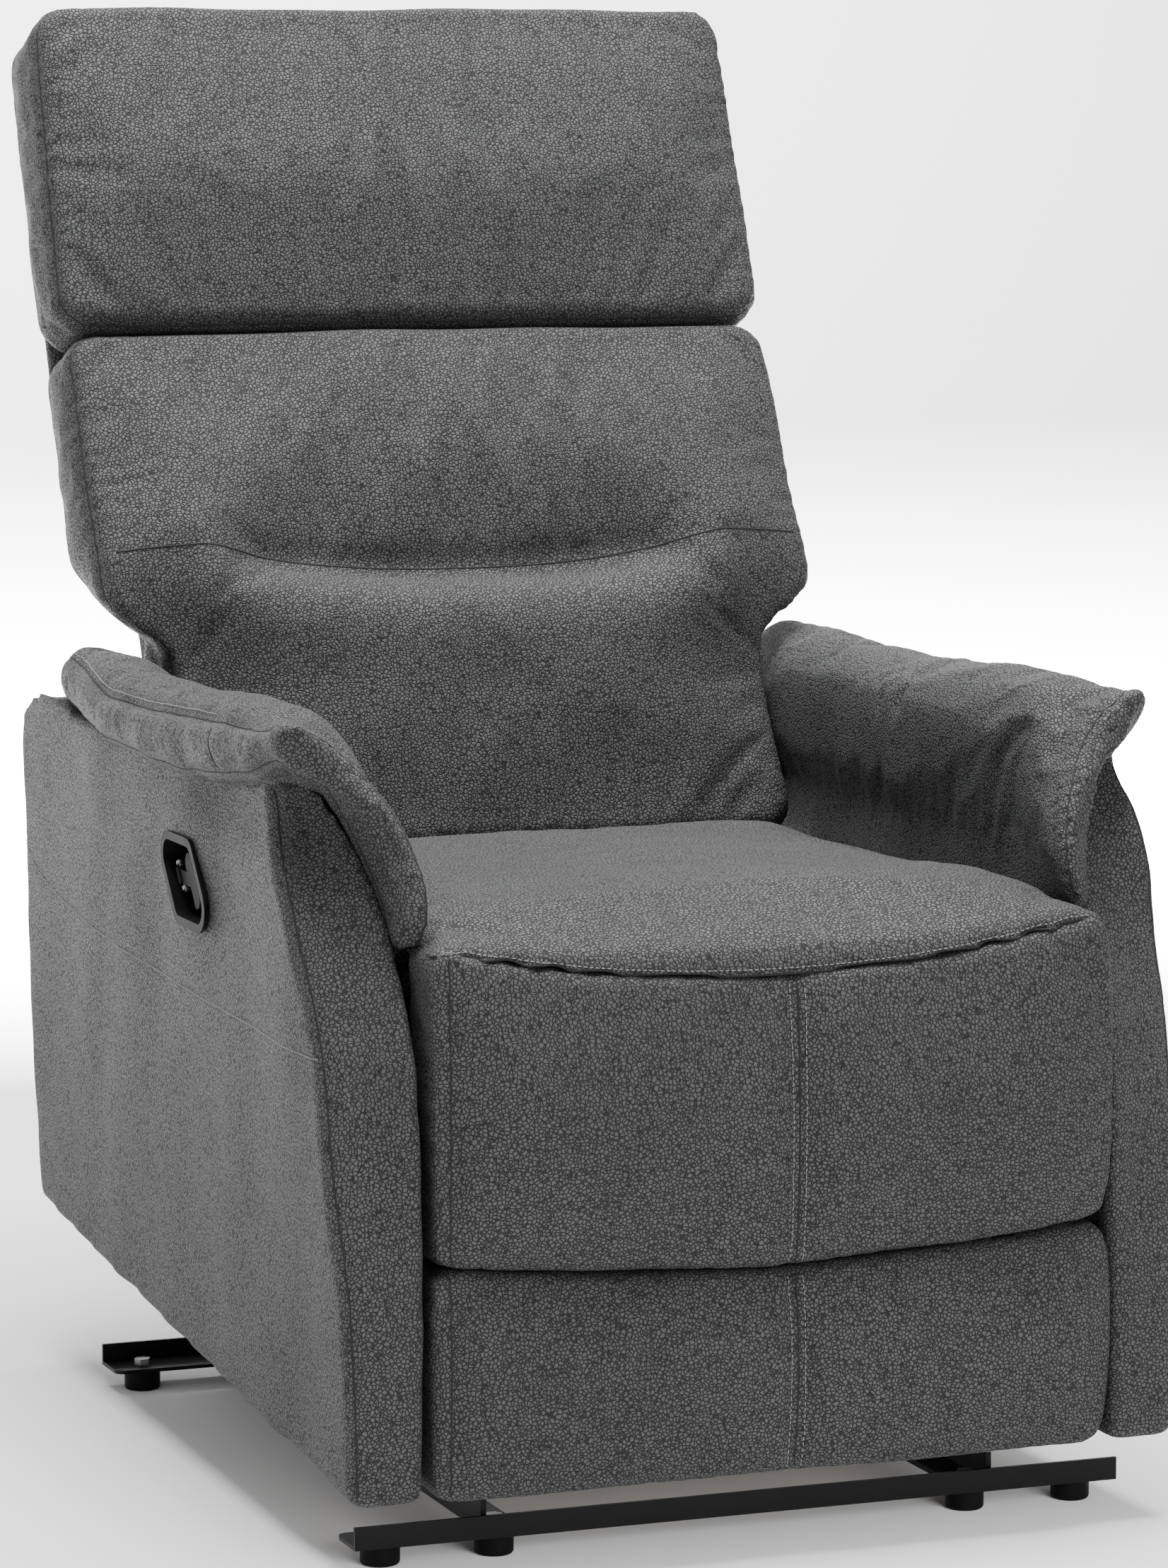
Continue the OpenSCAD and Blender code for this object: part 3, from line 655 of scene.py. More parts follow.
def pebbled_cover(graph):
    """Soft pebbled cover: rounded grains with thin dark creases between them."""
    look = bpy.context.scene.recliner_cover
    place = graph.place()
    drift = graph.node(
        "ShaderNodeTexNoise",
        {},
        {"Vector": place, "Scale": 0.35 / look.grain, "Detail": 2.0},
        "Color",
    )
    warp = graph.vector("MULTIPLY", drift, (0.45 * look.grain,) * 3)
    warped = graph.vector("ADD", place, warp)
    grains = graph.cell_edge(warped, 1 / look.grain).step(0.0, 0.22)
    small = graph.cell_edge(warped, 2.3 / look.grain).step(0.0, 0.3)
    fine = graph.noise(place, 5 / look.grain, 2.0)
    cloudy = graph.noise(place, 7.0, 3.0)
    patchy = graph.noise(place, 55.0, 2.0)
    raised = grains * (0.94 + small * 0.06)
    worn = (cloudy * 0.65 + patchy * 0.35).step(0.3, 0.7)
    face = graph.mix(worn, rgba(look.colour, 0.9), rgba(look.colour, 1.1))
    graph.set(
        Base_Color=graph.mix(raised.step(0.05, 0.75), rgba(look.crease), face),
        Roughness=0.78 - raised * 0.16 + (fine - 0.5) * 0.12,
        Specular_IOR_Level=0.26,
    )
    graph.bump(raised * 0.85 + fine * 0.15, look.relief, 0.9)


def painted_seam_shadow(graph):
    """Painted seam shadow: near-black colour for the tube laid along each seam's groove."""
    place = graph.place()
    rows = graph.noise(place, 700.0, 2.0)
    graph.set(
        Base_Color=graph.mix(rows, *TONES["painted_seam_shadow"]),
        Roughness=0.8 + rows * 0.1,
        Specular_IOR_Level=0.2,
    )
    graph.bump(rows, 0.3 * MM, 0.6)


def sewing_thread(graph):
    """Twisted polyester thread."""
    twist = graph.noise(graph.place(), 2600.0, 1.0)
    graph.set(
        Base_Color=graph.mix(twist, *TONES["sewing_thread"]),
        Roughness=0.5 + twist * 0.15,
        Specular_IOR_Level=0.4,
    )
    graph.bump(twist, 0.15 * MM, 0.5)


def flap_cloth(graph):
    """Thin black non-woven cloth: pressed dots over matted fibres."""
    place = graph.place()
    dots = graph.cell_edge(place, 420.0).step(0.05, 0.3)
    fibres = graph.noise(graph.place((1, 1, 3)), 900.0, 4.0, 0.7)
    graph.set(
        Base_Color=graph.mix(fibres * dots, *TONES["flap_cloth"]),
        Roughness=0.82 + fibres * 0.12,
        Specular_IOR_Level=0.25,
    )
    graph.bump(dots * 0.6 + fibres * 0.4, 0.25 * MM, 0.8)


def black_steel(graph):
    """Satin black powder coat with orange peel and a little dust."""
    place = graph.place()
    peel = graph.noise(place, 900.0, 2.0)
    dust = graph.noise(place, 24.0, 4.0, 0.6).step(0.45, 0.8)
    graph.set(
        Base_Color=graph.mix(dust, *TONES["black_steel"]),
        Roughness=0.5 + dust * 0.14 + peel * 0.06,
        Specular_IOR_Level=0.16,
    )
    graph.bump(peel, 0.12 * MM, 0.5)


def black_plastic(graph):
    """Moulded black plastic with a fine spark-eroded grain."""
    place = graph.place()
    grain = graph.noise(place, 1800.0, 2.0, 0.6)
    scuff = graph.noise(place, 60.0, 3.0).step(0.5, 0.8)
    graph.set(
        Base_Color=graph.mix(scuff, *TONES["black_plastic"]),
        Roughness=0.58 + grain * 0.14 + scuff * 0.08,
        Specular_IOR_Level=0.12,
    )
    graph.bump(grain, 0.1 * MM, 0.7)


def cable_sheath(graph):
    """Smooth extruded sheath with a faint scuffing."""
    scuff = graph.noise(graph.place((1, 1, 4)), 260.0, 3.0)
    graph.set(
        Base_Color=graph.mix(scuff, *TONES["cable_sheath"]),
        Roughness=0.26 + scuff * 0.14,
        Coat_Weight=0.2 + scuff * 0.1,
    )
    graph.bump(scuff, 0.05 * MM, 0.4)


def drawn_wire(graph):
    """Bright drawn spring wire with lengthwise die marks."""
    marks = graph.noise(graph.place((1, 0.08, 1)), 1500.0, 3.0)
    tarnish = graph.noise(graph.place(), 30.0, 3.0).step(0.4, 0.8)
    graph.set(
        Base_Color=graph.mix(tarnish, *TONES["spring_steel"]),
        Metallic=1.0 - tarnish * 0.25,
        Roughness=0.28 + marks * 0.14 + tarnish * 0.2,
    )
    graph.bump(marks, 0.05 * MM, 0.5)


def zinc_plate(graph):
    """Zinc plated fasteners: clouded bright metal."""
    cloud = graph.noise(graph.place(), 130.0, 4.0, 0.6)
    spangle = graph.cell_edge(graph.place(), 500.0).step(0.0, 0.5)
    graph.set(
        Base_Color=graph.mix(cloud, *TONES["zinc_fasteners"]),
        Metallic=0.92 + spangle * 0.08,
        Roughness=0.34 + cloud * 0.2,
    )
    graph.bump(spangle, 0.05 * MM, 0.4)


def woven_webbing(graph):
    """Elastic webbing: ribs along the strap over a cross weave."""
    place = graph.place()
    ribs = graph.node(
        "ShaderNodeTexWave",
        {"bands_direction": "X"},
        {"Vector": place, "Scale": 190.0, "Distortion": 0.6, "Detail Scale": 3.0},
    )
    weft = graph.node(
        "ShaderNodeTexWave",
        {"bands_direction": "Z"},
        {"Vector": place, "Scale": 240.0, "Distortion": 0.8, "Detail Scale": 3.0},
    )
    weave = ribs * 0.55 + weft * 0.45
    graph.set(
        Base_Color=graph.mix(weave, *TONES["webbing"]),
        Roughness=0.72 + weave * 0.15,
        Specular_IOR_Level=0.3,
    )
    graph.bump(weave, 0.5 * MM, 0.9)


def sawn_timber(graph):
    """Plain sawn softwood: rings drawn out along the board, and saw marks."""
    rings = graph.node(
        "ShaderNodeTexWave",
        {"wave_type": "RINGS", "rings_direction": "Y"},
        {
            "Vector": graph.place((1, 0.12, 1)),
            "Scale": 34.0,
            "Distortion": 5.0,
            "Detail": 3.0,
            "Detail Scale": 1.2,
        },
    )
    pores = graph.noise(graph.place((1, 0.06, 1)), 520.0, 4.0, 0.65)
    saw = graph.noise(graph.place((0.2, 1, 0.2)), 420.0, 1.0)
    grain = rings * 0.7 + pores * 0.3
    graph.set(
        Base_Color=graph.mix(grain, *TONES["timber"]),
        Roughness=0.62 + pores * 0.2,
        Specular_IOR_Level=0.3,
    )
    graph.bump(pores * 0.6 + saw * 0.4, 0.3 * MM, 0.6)


FINISHES = {
    "upholstery": pebbled_cover,
    "painted_seam_shadow": painted_seam_shadow,
    "sewing_thread": sewing_thread,
    "flap_cloth": flap_cloth,
    "black_steel": black_steel,
    "black_plastic": black_plastic,
    "cable_sheath": cable_sheath,
    "spring_steel": drawn_wire,
    "zinc_fasteners": zinc_plate,
    "webbing": woven_webbing,
    "timber": sawn_timber,
}


def finish(name):
    """The material of that name, made once."""
    title = name + "_finish"
    if title not in bpy.data.materials:
        FINISHES[name](Graph(title))
    return bpy.data.materials[title]


def padded_piece(piece, body, node):
    """Says what a finished cushion rides on and what it stands for."""
    piece.data.materials.clear()
    piece.data.materials.append(finish("upholstery"))
    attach(piece, body)
    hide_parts(node)


# ---- Sizes and colours that a user would change ----------------------------------------------


class ReclinerPadding(bpy.types.PropertyGroup):
    voxel: FloatProperty(
        name="Cell", description="Width of one face of a cushion before it is made finer",
        default=5.5 * MM, min=4 * MM, max=12 * MM, unit="LENGTH",
    )
    crown: FloatProperty(
        name="Crown", description="Furthest that the padding may swell a cushion's face",
        default=24 * MM, min=5 * MM, max=30 * MM, unit="LENGTH",
    )
    pressure: FloatProperty(
        name="Pressure", description="How hard the padding pushes on the cover",
        default=4.0, min=0.5, max=12.0,
    )
    slack: FloatProperty(
        name="Slack", description="Share by which the cover is cut larger than its padding",
        default=0.012, min=0.0, max=0.08, subtype="FACTOR",
    )
    frames: IntProperty(
        name="Steps", description="Steps of the cloth simulation",
        default=20, min=5, max=60,
    )
    quality: IntProperty(
        name="Quality", description="Solver passes in each step",
        default=4, min=2, max=12,
    )


class ReclinerSewing(bpy.types.PropertyGroup):
    # radius of the near-black tube that paints the shadow in each seam
    seam_shadow_radius: FloatProperty(
        name="Seam", description="Radius of the fold that shows in a seam",
        default=0.9 * MM, min=0.4 * MM, max=3 * MM, unit="LENGTH",
    )
    groove_width: FloatProperty(
        name="Groove width", description="How far a seam pulls the cover in beside it",
        default=6 * MM, min=2 * MM, max=20 * MM, unit="LENGTH",
    )
    groove_depth: FloatProperty(
        name="Groove depth", description="How deep a seam sits in the cover",
        default=3.2 * MM, min=0.5 * MM, max=10 * MM, unit="LENGTH",
    )
    thread_radius: FloatProperty(
        name="Thread", description="Radius of the topstitching thread",
        default=0.42 * MM, min=0.2 * MM, max=1.5 * MM, unit="LENGTH",
    )
    stitch_length: FloatProperty(
        name="Stitch", description="Length of one stitch",
        default=3.6 * MM, min=2 * MM, max=8 * MM, unit="LENGTH",
    )
    stitch_gap: FloatProperty(
        name="Stitch gap", description="Gap between two stitches",
        default=0.9 * MM, min=0.4 * MM, max=4 * MM, unit="LENGTH",
    )


class ReclinerCover(bpy.types.PropertyGroup):
    colour: FloatVectorProperty(
        name="Cover", description="Colour of the cover's raised grain", subtype="COLOR",
        size=3, min=0, max=1, default=(0.056, 0.0565, 0.058),
    )
    crease: FloatVectorProperty(
        name="Crease", description="Colour in the creases of the grain", subtype="COLOR",
        size=3, min=0, max=1, default=(0.008, 0.008, 0.0085),
    )
    grain: FloatProperty(
        name="Grain", description="Width of one grain of the cover",
        default=2.9 * MM, min=1 * MM, max=12 * MM, unit="LENGTH",
    )
    relief: FloatProperty(
        name="Relief", description="Height of the grain",
        default=0.9 * MM, min=0, max=3 * MM, unit="LENGTH",
    )


class ReclinerStudio(bpy.types.PropertyGroup):
    floor_colour: FloatVectorProperty(
        name="Floor", description="Colour of the floor and backdrop", subtype="COLOR",
        size=3, min=0, max=1, default=(0.94, 0.94, 0.94),
    )
    top_power: FloatProperty(
        name="Top light", description="Power of the overhead light",
        default=385.0, min=0, unit="POWER",
    )
    side_power: FloatProperty(
        name="Side light", description="Power of the light at the chair's right",
        default=3.0, min=0, unit="POWER",
    )
    front_power: FloatProperty(
        name="Front light", description="Power of the light in front of the chair",
        default=56.0, min=0, unit="POWER",
    )
    backdrop_power: FloatProperty(
        name="Backdrop light", description="Power of the light on the floor and wall behind",
        default=4500.0, min=0, unit="POWER",
    )
    ambient: FloatProperty(
        name="Ambient", description="Brightness of the room",
        default=0.6, min=0, max=3,
    )


# ---- The back -------------------------------------------------------------------------------

BACK_WING = 297 * MM
BACK_WAIST = 248 * MM
HEAD_JOIN = 533 * MM
HEAD_OVERHANG = 13 * MM
LOWER_OVERHANG = 11 * MM
# Both back cushions: half their depth as a block, where their rears stand, how round their edges
# are, where their padding fades out against the board, and which parts of a seam gather
CUSHION_HALF_DEPTH = 42 * MM
CUSHION_REAR = -4 * MM
CUSHION_EDGE = 11 * MM
BOARD_HOLD = (-22 * MM, -8 * MM)
GATHERED_SIDES = (0.22, 0.28)


class RECLINER_OT_head_cushion(bpy.types.Operator):
    """Makes the head cushion, a boxed cushion whose front leans a little forward at its top"""

    bl_idname = "recliner.head_cushion"
    bl_label = "Head cushion"

    def execute(self, context):
        pad = context.scene.recliner_padding
        sew = context.scene.recliner_sewing
        low, high = back_box("head_cushion")
        low[2] = HEAD_JOIN - 1 * MM
        edge, corner = CUSHION_EDGE, 30 * MM
        half_height = (high[2] - low[2]) / 2 + 3 * MM
        half = np.array([BACK_WING + HEAD_OVERHANG, CUSHION_HALF_DEPTH, half_height])
        middle = (low[2] + high[2]) / 2 + 4 * MM

        def front_at(z):
            return np.interp(z, [low[2], high[2]], [-80 * MM, -101 * MM])

        def shape(p):
            front = front_at(p[:, 2] + middle)
            share = (half[1] - p[:, 1]) / (2 * half[1])
            y = CUSHION_REAR + (front - CUSHION_REAR) * share
            narrow = 1 - 0.018 * ramp(p[:, 2], -half[2], half[2])
            return leaned(np.stack([p[:, 0] * narrow, y, p[:, 2] + middle], 1))

        piece = soft_block("head_cushion_cover", half, edge, corner, shape)
        remesh(piece, pad.voxel)
        inset = 0.12 * edge
        reach = (half[0] - inset, -half[2] + inset, half[2] - inset)
        outline = rounded_outline(*reach, corner - inset)

        def perimeter(share):
            return shape(at_depth(outline, half[1] * (1 - 2 * share)))

        front_seam, rear_seam = perimeter(0.90), perimeter(0.06)
        points = points_of(piece)
        local = unleaned(points)
        held = held_near(points, [front_seam], 16 * MM)
        held = np.maximum(held, ramp(local[:, 1], *BOARD_HOLD))
        above_join = ramp(local[:, 2], low[2] + 2 * MM, low[2] + 14 * MM)
        held = np.maximum(held, 0.8 * (1 - above_join))
        swell(piece, held, pad.crown)
        ripple(piece, 1.0 * MM, 120 * MM, 11)
        groove(piece, front_seam, sew.groove_width, sew.groove_depth, 0.6 * MM)
        gather(piece, front_seam, 17 * MM, 1.3 * MM, 15 * MM, 12,
               lambda p: ramp(np.abs(p[:, 0]), *GATHERED_SIDES))
        self.settle(piece)
        finish_surface(piece)
        padded_piece(piece, "backrest", "head_cushion")
        seam("head_cushion_seam_shadow", piece, [front_seam, rear_seam])
        return {"FINISHED"}

    def settle(self, piece):
        """The cushion rests flat on the one below it."""
        local = unleaned(points_of(piece))
        local[:, 2] = np.maximum(local[:, 2], HEAD_JOIN)
        put_points(piece, leaned(local))


def lower_half_width(y, z):
    """Half width of the lower back cushion: narrow between the arms, wide above them."""
    wing = np.interp(y, [-100 * MM, -2 * MM], [284 * MM, 360 * MM])
    return BACK_WAIST + (BACK_WING - BACK_WAIST) * ramp(z, wing - 56 * MM, wing + 4 * MM)


def lumbar_level(x):
    """Height along the back of the seam across the lumbar pad, which dips in the middle."""
    return (333 - 17 * (1 - np.clip(np.abs(x) / (225 * MM), 0, 1) ** 2)) * MM


class RECLINER_OT_lower_back(bpy.types.Operator):
    """Makes the lower back cushion with its lumbar roll and the deep crease above it"""

    bl_idname = "recliner.lower_back"
    bl_label = "Lower back cushion"

    def execute(self, context):
        pad = context.scene.recliner_padding
        sew = context.scene.recliner_sewing
        low, high = back_box("lower_back_cushion")
        high[2] = HEAD_JOIN
        edge, corner = CUSHION_EDGE, 28 * MM
        half_height = (high[2] - low[2]) / 2 - 1 * MM
        half = np.array([BACK_WING + LOWER_OVERHANG, CUSHION_HALF_DEPTH, half_height])
        middle = (low[2] + high[2]) / 2

        def front_at(z):
            levels = np.array([78, 230, 330, 518]) * MM
            return np.interp(z, levels, np.array([-92, -88, -95, -81]) * MM)

        def shape(p):
            z = p[:, 2] + middle
            share = (half[1] - p[:, 1]) / (2 * half[1])
            y = CUSHION_REAR + (front_at(z) - CUSHION_REAR) * share
            x = p[:, 0] * lower_half_width(y, z) / BACK_WING
            return leaned(np.stack([x, y, z], 1))

        piece = soft_block("lower_back_cover", half, edge, corner, shape)
        remesh(piece, pad.voxel)
        inset = 0.12 * edge
        reach = (half[0] - inset, -half[2] + inset, half[2] - inset)
        outline = rounded_outline(*reach, corner - inset)
        front_seam = flowing(shape(at_depth(outline, -0.8 * half[1]))[::4], 3 * MM)
        across = np.linspace(-BACK_WING + 4 * MM, BACK_WING - 4 * MM, 120)
        level = lumbar_level(across)
        lumbar = leaned(np.stack([across, front_at(level) - 2 * MM, level], 1))
        points = points_of(piece)
        local = unleaned(points)
        held = held_near(points, [front_seam], 15 * MM)
        middle_only = 1 - ramp(np.abs(local[:, 0]), 40 * MM, 230 * MM)
        held = np.maximum(held, 0.8 * middle_only * held_near(points, [lumbar], 18 * MM))
        held = np.maximum(held, ramp(local[:, 1], *BOARD_HOLD))
        held = np.maximum(held, 0.7 * ramp(local[:, 2], high[2] - 14 * MM, high[2] - 2 * MM))
        swell(piece, held, pad.crown)
        self.shape_lumbar(piece)
        ripple(piece, 1.2 * MM, 130 * MM, 21)
        groove(piece, front_seam, sew.groove_width, sew.groove_depth, 0.6 * MM)
        groove(piece, lumbar, 0.6 * sew.groove_width, 0.3 * sew.groove_depth)
        gather(piece, front_seam, 15 * MM, 1.0 * MM, 16 * MM, 22,
               lambda p: ramp(np.abs(p[:, 0]), *GATHERED_SIDES))
        local = unleaned(points_of(piece))
        local[:, 2] = np.minimum(local[:, 2], HEAD_JOIN - 0.6 * MM)
        put_points(piece, leaned(local))
        finish_surface(piece)
        padded_piece(piece, "backrest", "lower_back_cushion")
        seam("lower_back_seam_shadow", piece, [front_seam])
        inward = leaned([[0, 1, 0]])[0] - back_origin()
        seam("lumbar_seam_shadow", piece, [lumbar], inward)
        return {"FINISHED"}

    def shape_lumbar(self, piece):
        """Rolls the lumbar pad out below the crease, and sinks the crease in."""
        local = unleaned(points_of(piece))
        x, y, z = local.T
        above = z - lumbar_level(x)
        front = ramp(-y, 50 * MM, 80 * MM)
        side = 1 - ramp(np.abs(x), 180 * MM, 290 * MM)
        soft = 0.6 * (1 - ramp(above, -4 * MM, 105 * MM)) + 0.4 * bell(above, 16 * MM)
        slope = np.where(above > 0, soft, bell(above, 20 * MM))
        crease = (1 - ramp(np.abs(x), 60 * MM, 275 * MM)) * slope
        roll = side * bell(above + 42 * MM, 48 * MM)
        peaks = bell(np.abs(x) - 222 * MM, 52 * MM) * bell(above, 60 * MM)
        local[:, 1] += front * (19 * MM * crease - 13 * MM * roll - 8 * MM * peaks)
        put_points(piece, leaned(local))


class RECLINER_OT_rear_cover(bpy.types.Operator):
    """Makes the upholstered rear of the back, with a seam round it and one down each side"""

    bl_idname = "recliner.rear_cover"
    bl_label = "Rear cover"

    def execute(self, context):
        sew = context.scene.recliner_sewing
        low, high = back_box("rear_cover")
        middle = (low[2] + high[2]) / 2
        half_height = (high[2] - low[2]) / 2 - 1 * MM
        half = np.array([BACK_WING - 1 * MM, (high[1] - 0.4 * MM) / 2, half_height])

        def shape(p):
            z = p[:, 2] + middle
            width = BACK_WAIST + (BACK_WING - BACK_WAIST) * ramp(z, 368 * MM, 424 * MM)
            over_width = np.cos(np.clip(p[:, 0] / half[0], -1, 1) * math.pi / 2)
            over_height = np.cos(p[:, 2] / half[2] * math.pi / 2)
            swollen = ramp(p[:, 1], 0, half[1]) * over_width
            y = p[:, 1] + half[1] + 0.2 * MM + 7 * MM * swollen * over_height
            return leaned(np.stack([p[:, 0] * width / BACK_WING, y, z], 1))

        piece = soft_block("rear_cover_shell", half, CUSHION_EDGE, 30 * MM, shape)
        remesh(piece, 6.5 * MM)
        ripple(piece, 0.8 * MM, 150 * MM, 31)

        end_gap, seam_share = 12 * MM, 0.72
        levels = np.linspace(-half[2] + end_gap, half[2] - end_gap, 60)

        def line(x):
            return shape(np.array([[x, half[1], z] for z in levels]))

        paths = [line(s * seam_share * half[0]) for s in SIDES.values()]
        outline = rounded_outline(half[0] - 4 * MM, -half[2] + 4 * MM, half[2] - 4 * MM, 27 * MM)
        paths.append(shape(at_depth(outline, 0.7 * half[1])))
        for path in paths:
            groove(piece, path, sew.groove_width, 0.7 * sew.groove_depth, 0.5 * MM)
        finish_surface(piece)
        padded_piece(piece, "backrest", "rear_cover")
        seam("rear_cover_seam_shadow", piece, paths)
        beside = [line(s * (seam_share * half[0] - 6 * MM)) for s in SIDES.values()]
        topstitch("rear_cover_topstitch", piece, beside)
        return {"FINISHED"}


class RECLINER_OT_rear_flap(bpy.types.Operator):
    """Hangs the thin cloth flap that closes the chair below its back"""

    bl_idname = "recliner.rear_flap"
    bl_label = "Rear flap"

    def execute(self, context):
        low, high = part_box("rear_flap")
        columns, rows = 90, 34
        x = np.linspace(low[0], high[0], columns + 1)
        z = np.linspace(low[2], high[2], rows + 1)
        grid_x, grid_z = np.meshgrid(x, z)
        hang = (high[2] - grid_z) / (high[2] - low[2])
        wave = np.sin(grid_x * 31 + 0.6) * 0.6 + np.sin(grid_x * 67 + 1.7) * 0.3
        y = (low[1] + high[1]) / 2 + wave * hang * 3.2 * MM
        points = np.stack([grid_x, y, grid_z], -1).reshape(-1, 3)
        wide = columns + 1
        faces = [
            (r * wide + c, r * wide + c + 1, (r + 1) * wide + c + 1, (r + 1) * wide + c)
            for r in range(rows)
            for c in range(columns)
        ]
        piece = mesh_piece("rear_flap_cloth", points, faces)
        finish_surface(piece, 0)
        piece.data.materials.append(finish("flap_cloth"))
        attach(piece, "chair_body")
        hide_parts("rear_flap")
        return {"FINISHED"}


# ---- The seat and footrest --------------------------------------------------------------------

SEAT_HALF = 259 * MM
SEAT_RING = 150
PAD_FRONT = -487 * MM
FOOT_HALF = 260 * MM
FOOT_CORNER = 12 * MM


def front_seam_level(x):
    """Height of the topstitched seam along the seat's front edge, lowest in the middle."""
    return (421 + 31 * np.clip(np.abs(x) / (255 * MM), 0, 1) ** 2.2) * MM


def crease_level(x):
    """Height of the crease between the two footrest pads."""
    return (212 + 17 * np.clip(np.abs(x) / (258 * MM), 0, 1) ** 1.7) * MM


class RECLINER_OT_seat(bpy.types.Operator):
    """Makes the crowned seat cushion, whose front falls over to the topstitched seam"""

    bl_idname = "recliner.seat"
    bl_label = "Seat cushion"

    def execute(self, context):
        pad = context.scene.recliner_padding
        sew = context.scene.recliner_sewing
        low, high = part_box("seat_cushion")
        lip = high[2] - 19 * MM
        rings = []
        for x in np.linspace(-SEAT_HALF, SEAT_HALF, 61):
            seam_z = float(front_seam_level(x)) + 2.0 * MM
            crown = 6 * MM * (1 - (abs(x) / SEAT_HALF) ** 3)
            tuck = 10 * MM * ramp(abs(x), SEAT_HALF - 14 * MM, SEAT_HALF)
            top = high[2] + crown - tuck
            rings.append(
                [
                    (x, PAD_FRONT + 1 * MM, seam_z - 1.5 * MM),
                    (x, PAD_FRONT + 5 * MM, seam_z + 0.30 * (top - seam_z)),
                    (x, PAD_FRONT + 13 * MM, seam_z + 0.58 * (top - seam_z)),
                    (x, PAD_FRONT + 29 * MM, seam_z + 0.84 * (top - seam_z)),
                    (x, PAD_FRONT + 56 * MM, top - 1 * MM),
                    (x, PAD_FRONT + 110 * MM, top + 4 * MM),
                    (x, PAD_FRONT + 250 * MM, top + 1 * MM),
                    (x, PAD_FRONT + 420 * MM, top - 6 * MM),
                    (x, high[1] - 18 * MM, top - 10 * MM),
                    (x, high[1] - 3 * MM, top - 18 * MM),
                    (x, high[1] - 3 * MM, low[2] + 8 * MM),
                    (x, high[1] - 12 * MM, low[2]),
                    (x, -392 * MM, low[2]),
                    (x, -395 * MM, lip + 2 * MM),
                    (x, PAD_FRONT + 32 * MM, lip + 2 * MM),
                    (x, PAD_FRONT + 12 * MM, min(seam_z + 6 * MM, lip + 6 * MM)),
                ]
            )
        piece = loft("seat_cushion_cover", [ring_of(r, SEAT_RING) for r in rings])
        remesh(piece, pad.voxel)
        across = np.linspace(-SEAT_HALF + 6 * MM, SEAT_HALF - 6 * MM, 120)
        front = np.full(len(across), PAD_FRONT + 2 * MM)
        edge_path = np.stack([across, front, front_seam_level(across) + 2 * MM], 1)
        lengthwise = np.linspace(-0.46, high[1] - 0.03, 8)
        side_paths = [
            flowing([(s * (SEAT_HALF - 3 * MM), y, high[2] - 3 * MM) for y in lengthwise])
            for s in SIDES.values()
        ]
        points = points_of(piece)
        held = held_near(points, [edge_path], 30 * MM)
        on_top = ramp(points[:, 2], high[2] - 26 * MM, high[2] - 10 * MM)
        behind_lip = ramp(points[:, 1], PAD_FRONT + 2 * MM, PAD_FRONT + 14 * MM)
        held = np.maximum(held, 1 - on_top * behind_lip)
        held = np.maximum(held, ramp(np.abs(points[:, 0]), SEAT_HALF - 8 * MM, SEAT_HALF - 1 * MM))
        swell(piece, held, 0.36 * pad.crown)
        ripple(piece, 1.0 * MM, 140 * MM, 41)
        for path in side_paths:
            groove(piece, path, 7 * MM, 1.5 * MM)
        groove(piece, edge_path, 0.7 * sew.groove_width, 0.4 * sew.groove_depth, 0.5 * MM)
        finish_surface(piece)
        padded_piece(piece, "chair_body", "seat_cushion")
        seam("seat_front_seam_shadow", piece, [edge_path])
        above = edge_path + np.array([0, 0.5 * MM, 6 * MM])
        topstitch("seat_front_topstitch", piece, [above])
        return {"FINISHED"}


